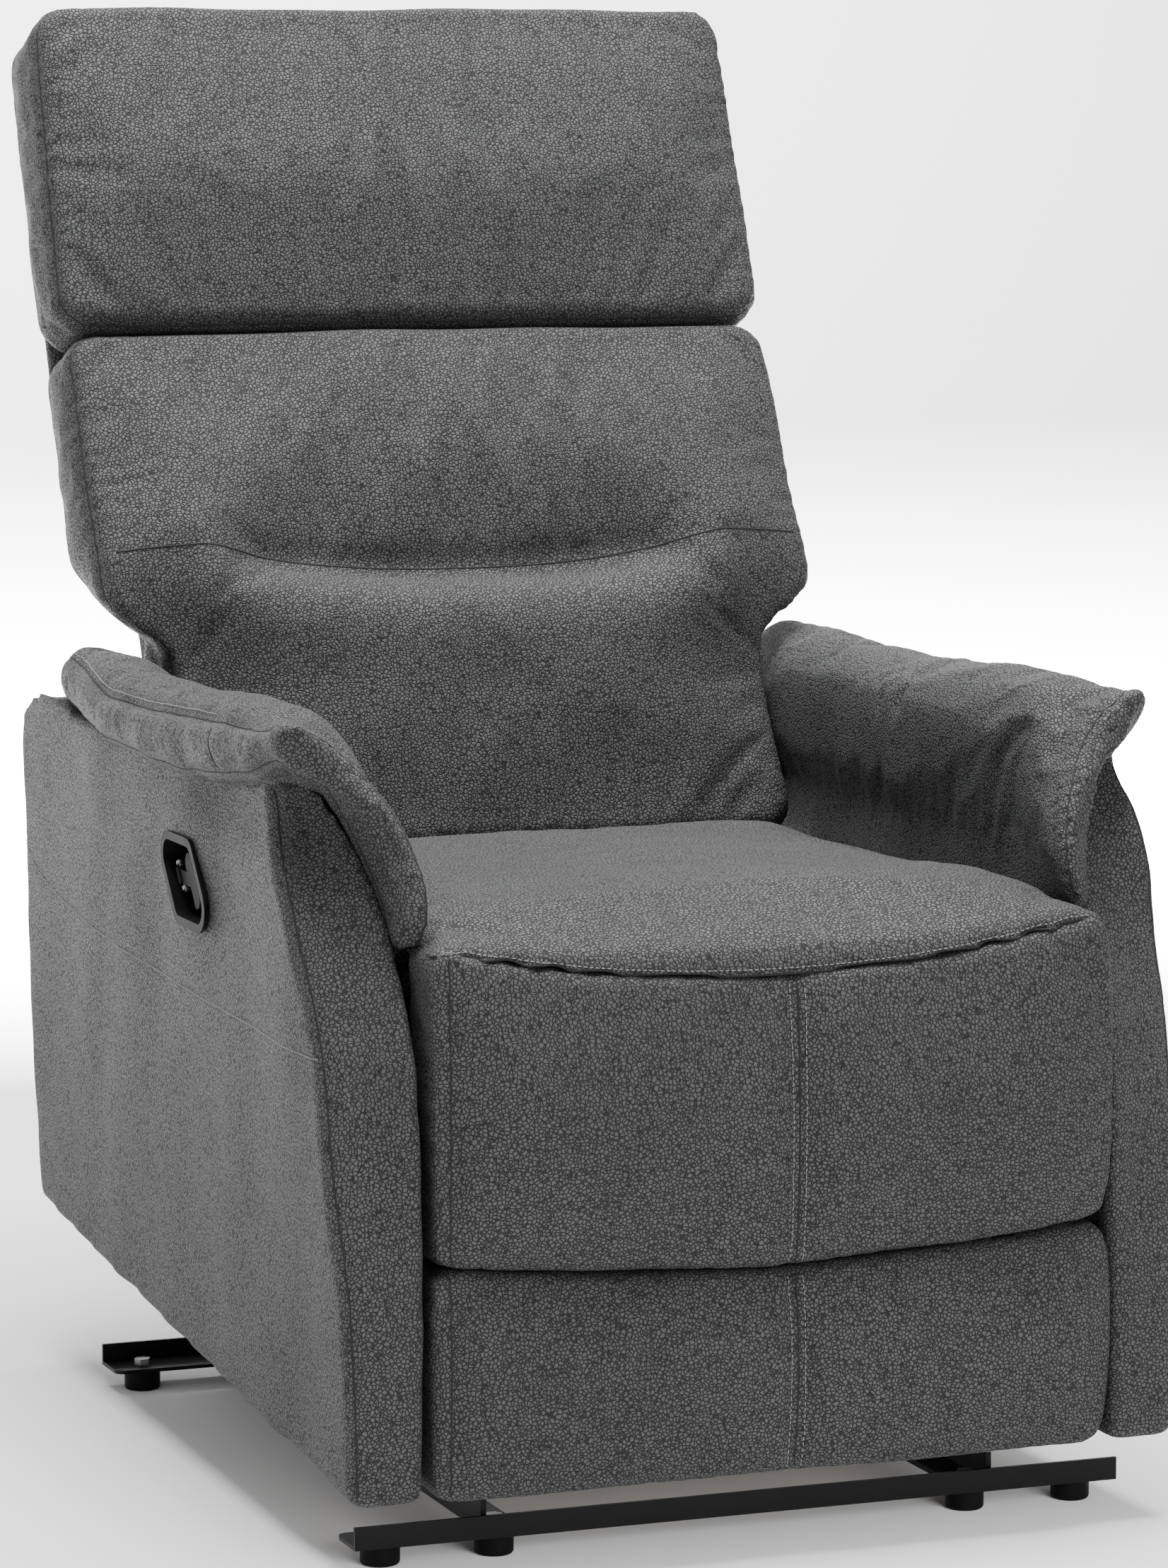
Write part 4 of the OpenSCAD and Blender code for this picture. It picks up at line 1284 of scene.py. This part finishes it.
class RECLINER_OT_footrest_pads(bpy.types.Operator):
    """Makes the two plump pads of the footrest, with the stitched seam down their middle"""

    bl_idname = "recliner.footrest_pads"
    bl_label = "Footrest pads"

    def execute(self, context):
        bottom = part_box("footrest_lower_pad")[0][2]

        def upper_low(x):
            return crease_level(x) + 0.3 * MM

        def upper_high(x):
            return front_seam_level(x) + 4 * MM

        def lower_low(x):
            return bottom + 2 * MM + 0 * x

        def lower_high(x):
            return crease_level(x) - 0.3 * MM

        self.pad("footrest_upper", upper_low, upper_high, 51, 26 * MM)
        self.pad("footrest_lower", lower_low, lower_high, 61, 22 * MM)
        return {"FINISHED"}

    def pad(self, name, floor_at, roof_at, seed, plump):
        """One pad between the heights that floor_at and roof_at give across the chair."""
        settings = bpy.context.scene.recliner_padding
        sew = bpy.context.scene.recliner_sewing
        node = name + "_pad"
        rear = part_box(node)[1][1]
        depth = rear - PAD_FRONT
        half = np.array([FOOT_HALF, depth / 2, (roof_at(0.0) - floor_at(0.0)) / 2])
        upper = name.endswith("upper")
        edge = 5 * MM

        def shape(p):
            share = (p[:, 2] + half[2]) / (2 * half[2])
            x = p[:, 0]
            low, high = floor_at(x), roof_at(x)
            front = (half[1] - p[:, 1]) / depth
            y = rear - depth * front
            crown = np.cos(np.clip(x / half[0], -1, 1) * math.pi / 2) ** 0.35
            body = np.sin(np.clip(share, 0.0, 1.0) * math.pi) ** (0.45 if upper else 0.6)
            y = y - 9 * MM * crown * body * ramp(front, 0.5, 0.9)
            x = x + 9 * MM * ramp(x, 190 * MM, half[0]) * body * ramp(front, 0.45, 0.8)
            return np.stack([x, y, low + (high - low) * share], 1)

        piece = soft_block(name + "_pad_cover", half, edge, FOOT_CORNER, shape)
        remesh(piece, settings.voxel)
        inset = 0.3 * edge
        radius = FOOT_CORNER - inset
        outline = rounded_outline(half[0] - inset, -half[2] + inset, half[2] - inset, radius)
        outline = shape(at_depth(outline, -half[1] + inset))
        levels = np.linspace(-half[2] + 2 * MM, half[2] - 2 * MM, 60)

        def upright(x):
            return shape(at_depth(np.stack([np.full(len(levels), x), levels], 1), -half[1]))

        boxing, centre = upright(-249 * MM), upright(14 * MM)
        points = points_of(piece)
        held = held_near(points, [outline], 10 * MM)
        held = np.maximum(held, 0.55 * held_near(points, [centre], 14 * MM))
        held = np.maximum(held, 0.8 * held_near(points, [boxing], 10 * MM))
        held = np.maximum(held, ramp(points[:, 1], rear - 16 * MM, rear - 5 * MM))
        at_sides = ramp(np.abs(points[:, 0]), half[0] - 5 * MM, half[0] - 1 * MM)
        held = np.maximum(held, 0.75 * at_sides)
        swell(piece, held, plump)
        ripple(piece, 1.1 * MM, 90 * MM, seed)
        groove(piece, centre, 7 * MM, 2.6 * MM)
        groove(piece, boxing, sew.groove_width, 0.7 * sew.groove_depth, 0.5 * MM)
        gather(piece, outline, 34 * MM, 1.5 * MM, 22 * MM, seed + 1,
               lambda p: ramp(p[:, 2], 0.15, 0.2))
        gather(piece, centre, 12 * MM, 0.7 * MM, 17 * MM, seed + 2)
        self.fit(piece, floor_at, roof_at, rear)
        finish_surface(piece)
        padded_piece(piece, "footrest", node)
        # near-black tube along the boxing and centre seams: painted seam shadow
        seam(name + "_seam", piece, [boxing, centre])
        rows = [centre + np.array([dx, 0, 0]) for dx in (-5 * MM, 5 * MM)]
        topstitch(name + "_topstitch", piece, rows)

    def fit(self, piece, floor_at, roof_at, rear):
        """Keeps the pad between its neighbours and in front of its board."""
        points = points_of(piece)
        inside = ramp(points[:, 1], PAD_FRONT - 4 * MM, PAD_FRONT + 10 * MM)
        low, high = floor_at(points[:, 0]), roof_at(points[:, 0])
        clamped = np.clip(points[:, 2], low, high)
        points[:, 2] += (clamped - points[:, 2]) * np.maximum(inside, 0.6)
        points[:, 1] = np.minimum(points[:, 1], rear)
        room = 262.5 * MM + 11 * MM * ramp(-points[:, 1], 458 * MM, 476 * MM)
        points[:, 0] = np.clip(points[:, 0], -262.5 * MM, room)
        put_points(piece, points)


# ---- The arms -------------------------------------------------------------------------------

ROLL_STRAIGHT = -300 * MM
ROLL_RING = 96
PANEL_RING = 160
# Section of the arm's roll over its middle and at its front (outwards, up), in matching order
ROLL_MIDDLE = [
    (264, 300), (264, 430), (264, 515), (266, 560), (274, 590), (290, 607), (308, 612), (326, 606),
    (337, 596), (344, 582), (344, 566), (337, 551), (318, 540), (297, 520), (287, 470), (284, 300),
]
ROLL_FRONT = [
    (266, -425, 449), (252, -447, 459), (247, -443, 486), (251, -432, 514), (261, -418, 541),
    (277, -399, 567), (298, -390, 591), (318, -386, 604), (332, -384, 608), (341, -382, 601),
    (341, -376, 588), (333, -370, 576), (307, -368, 567), (288, -383, 532), (276, -410, 486),
    (271, -421, 458),
]


def upper_band(y):
    """Height of the seam over the boxing band of an arm."""
    return np.interp(y, np.array([-428, -323, -184, -37, 71, 161, 245]) * MM,
                     np.array([603, 598, 592, 585, 584, 596, 603]) * MM)


def lower_band(y):
    """Height of the seam under the boxing band of an arm."""
    return np.interp(y, np.array([-454, -397, -338, -245, -140, -52, 73, 186, 245]) * MM,
                     np.array([574, 573, 566, 556, 546, 546, 549, 558, 562]) * MM)


def crest(y):
    """Height of the top of an arm."""
    return np.interp(y, np.array([-470, -406, -337, -230, -59, 27, 127, 245]) * MM,
                     np.array([598, 608, 612, 615, 608, 609, 612, 606]) * MM)


def roll_section(y, forward):
    """The section of the arm's roll at a place along the arm, as (outwards, along, up).
    forward goes from 0 where the roll is straight to 1 at the seams round its front."""
    points = np.array(ROLL_MIDDLE, float) * MM
    top, band, lip = crest(y) - 612 * MM, upper_band(y) - 597 * MM, lower_band(y) - 551 * MM
    shifts = [0, 0, 0.1 * top, 0.4 * top, 0.8 * top, top, top, 0.6 * top + 0.4 * band,
              band, 0.7 * band + 0.3 * lip, 0.3 * band + 0.7 * lip, lip, lip, 0.5 * lip, 0, 0]
    points[:, 1] += shifts
    points[:, 0] -= 15 * MM * ramp(y, 40 * MM, 235 * MM) * ramp(points[:, 0], 295 * MM, 340 * MM)
    straight = np.stack([points[:, 0], np.full(len(points), y), points[:, 1]], 1)
    eased = forward * forward * (3 - 2 * forward)
    blend = np.array([eased, forward, eased])
    return straight + (np.array(ROLL_FRONT, float) * MM - straight) * blend


# Front of the side panel (along the chair, up): the seam from the floor edge up to the lip
PANEL_SEAM = [
    (-489, 62), (-490, 120), (-484, 210), (-473, 274), (-449, 374), (-427, 421), (-385, 478),
    (-316, 552),
]
# Where the front panel meets the roll (up, outwards, along)
INNER_SEAM = [
    (58, 265, -488), (200, 264, -489), (330, 264, -486), (378, 264, -478), (420, 265, -453),
    (449, 267, -430), (475, 271, -417), (534, 287, -382), (563, 300, -366), (579, 310, -360),
]
# The straight seam across the side panel (along the chair, up)
ACROSS_SEAM = [
    (-440, 376), (-414, 375), (-304, 375), (-135, 377), (77, 385), (225, 399), (300, 414),
    (345, 436),
]


class RECLINER_OT_arms(bpy.types.Operator):
    """Makes both arms: the rolled top with its boxing band, and the side and front panels"""

    bl_idname = "recliner.arms"
    bl_label = "Arms"

    def execute(self, context):
        for name, side in SIDES.items():
            self.roll(name, side)
            self.body(name, side)
        return {"FINISHED"}

    def mirrored(self, points, side):
        """Points of the left arm, put on the given side."""
        return np.array(points, float) * np.array([side, 1, 1])

    def roll(self, name, side):
        """The padded top of one arm, from its round rear to its nose."""
        sew = bpy.context.scene.recliner_sewing
        rear, round_end = 243 * MM, 26 * MM
        rings = []
        for turn in np.radians([80, 70, 58, 45, 30, 15]):
            section = roll_section(rear - round_end, 0)
            core = np.minimum(section[:, 2], 570 * MM)
            middle = np.stack([np.full(len(section), 304 * MM), section[:, 1], core], 1)
            section = middle + (section - middle) * max(math.cos(turn), 0.35)
            section[:, 1] = rear - round_end * (1 - math.sin(turn))
            rings.append(section)
        rings += [roll_section(y, 0) for y in np.linspace(rear - round_end, ROLL_STRAIGHT, 70)]
        rings += [roll_section(ROLL_STRAIGHT, forward) for forward in np.linspace(0, 1, 16)[1:]]
        section = rings[-1]
        middle = (section + section[::-1]) / 2
        for turn in np.radians([20, 40, 58, 72, 82]):
            nose = middle + (section - middle) * math.cos(turn)
            rings.append(nose + np.array([3 * MM, -11 * MM, 0]) * math.sin(turn))
        rings = [self.mirrored(ring_of(ring, ROLL_RING), side) for ring in rings]
        piece = loft("arm_roll_" + name, rings)
        remesh(piece, 5 * MM, 3)
        upper, lower, cross = self.roll_seams()
        upper, lower, cross = (self.mirrored(p, side) for p in (upper, lower, cross))
        points = points_of(piece)
        held = held_near(points, [upper, lower], 13 * MM)
        out = points[:, 0] * side
        hidden = ramp(out, 270 * MM, 276 * MM) * (1 - ramp(points[:, 2], 530 * MM, 545 * MM))
        hidden *= 1 - ramp(-points[:, 1], 330 * MM, 380 * MM)
        held = np.maximum(held, hidden)
        held = np.maximum(held, 1 - ramp(points[:, 2], 450 * MM, 500 * MM))
        swell(piece, held, 8 * MM, 2.5)
        ripple(piece, 0.9 * MM, 80 * MM, 71 + side)
        groove(piece, upper, 0.8 * sew.groove_width, 0.9 * sew.groove_depth, 0.5 * MM)
        groove(piece, lower, 0.8 * sew.groove_width, 0.7 * sew.groove_depth)
        groove(piece, cross, 0.7 * sew.groove_width, 0.5 * sew.groove_depth)
        gather(piece, upper, 20 * MM, 1.7 * MM, 11 * MM, 73 + side,
               lambda p: ramp(-p[:, 1], 340 * MM, 385 * MM))
        finish_surface(piece)
        padded_piece(piece, "chair_body", "arm_pad_" + name)
        seam("arm_roll_seam_shadow_" + name, piece, [upper, lower, cross])
        back_half = upper[upper[:, 1] > -220 * MM] + np.array([0, 0, 5 * MM])
        topstitch("arm_roll_topstitch_" + name, piece, [back_half])

    def roll_seams(self):
        """The two long seams of the boxing band, carried on round the arm's front, and the
        short cross seam."""
        ys = np.linspace(225 * MM, ROLL_STRAIGHT, 24)
        taper = 13 * MM * ramp(ys, 40 * MM, 235 * MM)
        upper = [(337 * MM - t, y, upper_band(y)) for y, t in zip(ys, taper)]
        lower = [(338 * MM - t, y, lower_band(y) - 1 * MM) for y, t in zip(ys, taper)]
        fronts = np.array(ROLL_FRONT, float) * MM
        upper += [(340 * MM, -350 * MM, 602 * MM), *fronts[7:0:-1]]
        lower += [(338 * MM, -350 * MM, 573 * MM), *fronts[11:16]]
        cross_y = -222 * MM
        high, low = upper_band(cross_y), lower_band(cross_y)
        cross = [
            (344 * MM, cross_y - 20 * MM * t, (1 - t) * high + t * low)
            for t in np.linspace(0.04, 0.96, 8)
        ]
        return flowing(upper), flowing(lower), flowing(cross)

    def body(self, name, side):
        """The side and front panels of one arm, down to the floor edge."""
        sew = bpy.context.scene.recliner_sewing
        rings = [self.mirrored(self.plan(t, side), side) for t in np.linspace(0, 1, 92)]
        piece = loft("arm_side_" + name, rings)
        remesh(piece, 6 * MM, 8)
        ripple(piece, 1.0 * MM, 170 * MM, 81 + side)
        ripple(piece, 0.35 * MM, 60 * MM, 83 + side)
        levels = [z * MM for _, z in PANEL_SEAM]
        front_seam = flowing([self.on_side(self.seam_at(z, side), z) for z in levels])
        across = flowing([self.on_side(y * MM, z * MM) for y, z in ACROSS_SEAM])
        rear_seam = flowing(
            [
                self.on_side((338 + 14 * t) * MM, (150 + 390 * t) * MM)
                for t in np.linspace(0, 1, 7)
            ]
        )
        seams = (front_seam, across, rear_seam)
        front_seam, across, rear_seam = (self.mirrored(p, side) for p in seams)
        groove(piece, front_seam, sew.groove_width, 0.8 * sew.groove_depth, 0.8 * MM)
        groove(piece, across, 0.8 * sew.groove_width, 0.22 * sew.groove_depth)
        groove(piece, rear_seam, sew.groove_width, 0.6 * sew.groove_depth, 0.4 * MM)
        finish_surface(piece)
        if name == "right":
            self.cut_for_cup(piece)
        padded_piece(piece, "chair_body", "arm_outer_panel_" + name)
        seam("arm_side_seam_shadow_" + name, piece, [front_seam, rear_seam])
        topstitch("arm_side_topstitch_" + name, piece, [across])

    def on_side(self, y, z):
        """A point of the side panel."""
        return (self.side_at(y, z), y, z)

    def side_at(self, y, z):
        """How far out the side panel stands, which tucks in under the lip towards the front."""
        tuck = 9 * MM * ramp(-y, -20 * MM, 220 * MM) * ramp(z, 500 * MM, 548 * MM)
        tuck = tuck - 6 * MM * ramp(-y, 180 * MM, 380 * MM) * ramp(z, 180 * MM, 320 * MM)
        return np.interp(z, np.array([58, 300, 540]) * MM, np.array([323, 326, 330]) * MM) - tuck

    def seam_at(self, z, side):
        """How far along the chair the front seam of the side panel runs at a height.
        The left arm's front is stuffed fuller under its lip."""
        seam_y, seam_z = (np.array(c, float) * MM for c in zip(*PANEL_SEAM))
        fuller = 55 * MM * float(ramp(z, 400 * MM, 530 * MM)) if side > 0 else 0.0
        return float(np.interp(z, seam_z, seam_y)) - fuller

    def plan(self, share, side):
        """The arm's outline seen from above, at a share of its height."""
        inner_z, inner_a, inner_y = (np.array(c, float) * MM for c in zip(*INNER_SEAM))
        foot_y = np.array([-491, -372, -203, -58, 198, 345]) * MM
        foot_z = np.array([60, 65, 86, 98, 121, 139]) * MM

        def height(y):
            low = np.interp(y, foot_y, foot_z)
            past = min(1.0, max(0.0, (y - 258 * MM) / (100 * MM)))
            drop = 56 * MM * (1 - math.sqrt(1 - past**2))
            front_rise = 10 * MM * ramp(-y, 280 * MM, 350 * MM)
            high = 556 * MM + front_rise + 10 * MM * ramp(y, 180 * MM, 250 * MM)
            return low + (high - drop - low) * share

        z = float(height(-480 * MM))
        inner = float(np.interp(z, inner_z, inner_a))
        face = float(np.interp(z, inner_z, inner_y))
        turn_y = self.seam_at(z, side) + 3 * MM
        rear_z = np.array([60, 140, 216, 411, 540]) * MM
        rear_y = float(np.interp(z, rear_z, np.array([334, 338, 345, 355, 357]) * MM))
        hide_z = np.array([400, 475, 520, 566]) * MM
        hide = float(np.interp(z, hide_z, np.array([265.5, 268, 282, 304]) * MM))
        out = float(self.side_at(turn_y, z))
        dent = 9 * MM * float(ramp(z, 120 * MM, 300 * MM))
        outline = [(hide, face + 12 * MM), (hide + 1.5 * MM, face + 3 * MM)]
        for s in np.linspace(0.08, 0.96, 26):
            hollow = dent * math.sin(math.pi * s)
            outline.append((inner + (out - inner) * s, face + (turn_y - face) * s**1.5 + hollow))
        outline.append((out - 0.6 * MM, turn_y + 2 * MM))
        panel = np.linspace(turn_y + 6 * MM, rear_y - 16 * MM, 40)
        outline += [(self.side_at(y, z), y) for y in panel]
        edge = float(self.side_at(rear_y, z))
        outline += [(edge - 1.5 * MM, rear_y - 7 * MM), (edge - 7 * MM, rear_y - 1 * MM)]
        outline += [(edge - 15 * MM, rear_y), (300 * MM, rear_y), (290 * MM, rear_y - 2 * MM)]
        outline += [(286 * MM, rear_y - 9 * MM), (286 * MM, 256 * MM)]
        outline += [(max(hide, 284 * MM), 247 * MM), (max(hide, 275 * MM), 243 * MM)]
        outline += [(hide, y) for y in np.linspace(240 * MM, face + 40 * MM, 14)]
        closed = resampled(np.vstack([outline, outline[:1]]), 1 * MM)
        spots = closed[np.linspace(0, len(closed) - 1, PANEL_RING + 1).astype(int)[:-1]]
        return np.array([(a, y, height(y)) for a, y in spots])

    def cut_for_cup(self, piece):
        """Opens the side panel where the release cup sits in it."""
        cup = node_points("release_cup")
        rim = cup[cup[:, 0] < cup[:, 0].min() + 1.5 * MM]
        centre = (rim.min(0) + rim.max(0)) / 2
        turns = np.radians(np.arange(0, 360, 7.5))
        ways = np.stack([np.cos(turns), np.sin(turns)], 1)
        reach = ((rim[:, 1:] - centre[1:]) @ ways.T).max(0) - 2 * MM
        outline = []
        for k in range(len(ways)):
            pair = np.array([ways[k - 1], ways[k]])
            outline.append(centre[1:] + np.linalg.solve(pair, np.array([reach[k - 1], reach[k]])))
        rings = [[(x, y, z) for y, z in outline] for x in (-360 * MM, -296 * MM)]
        cutter = loft("cup_cutter", rings)
        cut = piece.modifiers.new("Cup", "BOOLEAN")
        cut.operation = "DIFFERENCE"
        cut.object = cutter
        cut.solver = "EXACT"
        bake_modifiers(piece)
        bpy.data.objects.remove(cutter)


# ---- Frame finishes and studio ----------------------------------------------------------------


class RECLINER_OT_frame_finishes(bpy.types.Operator):
    """Gives every steel, timber, wire and plastic part of the frame its finish"""

    bl_idname = "recliner.frame_finishes"
    bl_label = "Frame finishes"

    def execute(self, context):
        for part in frame["record"]["subparts"]:
            node = frame["nodes"][part["node"]]
            node.data.materials.clear()
            node.data.materials.append(finish(part["material_slot"]))
        return {"FINISHED"}


class RECLINER_OT_studio(bpy.types.Operator):
    """Sets the camera, the pale floor and backdrop, and the soft lights"""

    bl_idname = "recliner.studio"
    bl_label = "Studio"

    def execute(self, context):
        studio = context.scene.recliner_studio
        self.camera(context)
        self.backdrop(studio)
        self.light("overhead_light", (0.0, 0.15, 3.4), (0, -0.1, 0.4), 2.2, studio.top_power)
        self.light("side_light", (-2.9, -1.2, 1.7), (0, 0, 0.6), 1.8, studio.side_power)
        self.light("front_light", (0.5, -3.4, 0.8), (0, 0, 0.45), 1.8, studio.front_power)
        self.light("backdrop_light", (1.0, 2.4, 2.8), (2.4, 9.0, 0.3), 3.0, studio.backdrop_power)
        world = bpy.data.worlds.new("room")
        context.scene.world = world
        world.use_nodes = True
        background = world.node_tree.nodes["Background"]
        background.inputs["Color"].default_value = (1, 1, 1, 1)
        background.inputs["Strength"].default_value = studio.ambient
        return {"FINISHED"}

    def camera(self, context):
        """A long lens about a metre up, in front of the chair and a little to its right."""
        data = bpy.data.cameras.new("camera")
        data.lens = 132.6
        data.sensor_width = 36
        data.clip_end = 50
        camera = bpy.data.objects.new("camera", data)
        context.scene.collection.objects.link(camera)
        camera.location = (-1.5810, -4.2427, 1.0619)
        camera.rotation_euler = (math.radians(83.0), 0, math.radians(-20.88))
        context.scene.camera = camera

    def backdrop(self, studio):
        """A wide pale floor with a wall far behind it."""
        far, wall, tall = 30.0, 12.0, 6.0
        points = [(x, y, z) for y, z in ((-far, 0), (wall, 0), (wall, tall)) for x in (-far, far)]
        floor = mesh_piece("studio_floor", points, [(0, 1, 3, 2), (2, 3, 5, 4)])
        finish_surface(floor, 0)
        graph = Graph("studio_paper")
        cloud = graph.noise(graph.place(), 1.5, 2.0)
        dull, bright = (rgba(studio.floor_colour, gain) for gain in (0.98, 1.02))
        graph.set(
            Base_Color=graph.mix(cloud, dull, bright),
            Roughness=0.9,
            Specular_IOR_Level=0.1,
        )
        floor.data.materials.append(graph.material)

    def light(self, name, place, aim, size, power):
        """A square soft light at place that points at aim."""
        data = bpy.data.lights.new(name, "AREA")
        data.shape = "SQUARE"
        data.size = size
        data.energy = power
        light = bpy.data.objects.new(name, data)
        bpy.context.scene.collection.objects.link(light)
        light.location = place
        light.rotation_euler = (Vector(aim) - Vector(place)).to_track_quat("-Z", "Y").to_euler()


# ---- The add-on -----------------------------------------------------------------------------

OPERATORS = (
    RECLINER_OT_studio,
    RECLINER_OT_frame_finishes,
    RECLINER_OT_head_cushion,
    RECLINER_OT_lower_back,
    RECLINER_OT_rear_cover,
    RECLINER_OT_rear_flap,
    RECLINER_OT_seat,
    RECLINER_OT_footrest_pads,
    RECLINER_OT_arms,
)
GROUPS = {
    "recliner_padding": ReclinerPadding,
    "recliner_sewing": ReclinerSewing,
    "recliner_cover": ReclinerCover,
    "recliner_studio": ReclinerStudio,
}


class RECLINER_PT_panel(bpy.types.Panel):
    """Lists the sizes and the pieces of the armchair"""

    bl_idname = "RECLINER_PT_panel"
    bl_label = "Recliner Armchair"
    bl_space_type = "VIEW_3D"
    bl_region_type = "UI"
    bl_category = "Recliner"

    def draw(self, context):
        for name, group in GROUPS.items():
            box = self.layout.box()
            for key in group.__annotations__:
                box.prop(getattr(context.scene, name), key)
        for operator in OPERATORS:
            self.layout.operator(operator.bl_idname)


def register():
    for kind in (*GROUPS.values(), *OPERATORS, RECLINER_PT_panel):
        bpy.utils.register_class(kind)
    for name, group in GROUPS.items():
        setattr(bpy.types.Scene, name, PointerProperty(type=group))


def unregister():
    for name in GROUPS:
        delattr(bpy.types.Scene, name)
    for kind in (RECLINER_PT_panel, *reversed(OPERATORS), *GROUPS.values()):
        bpy.utils.unregister_class(kind)


def main():
    """Makes the armchair and its studio."""
    register()
    for operator in OPERATORS:
        family, step = operator.bl_idname.split(".")
        getattr(getattr(bpy.ops, family), step)()


if __name__ == "__main__":
    main()
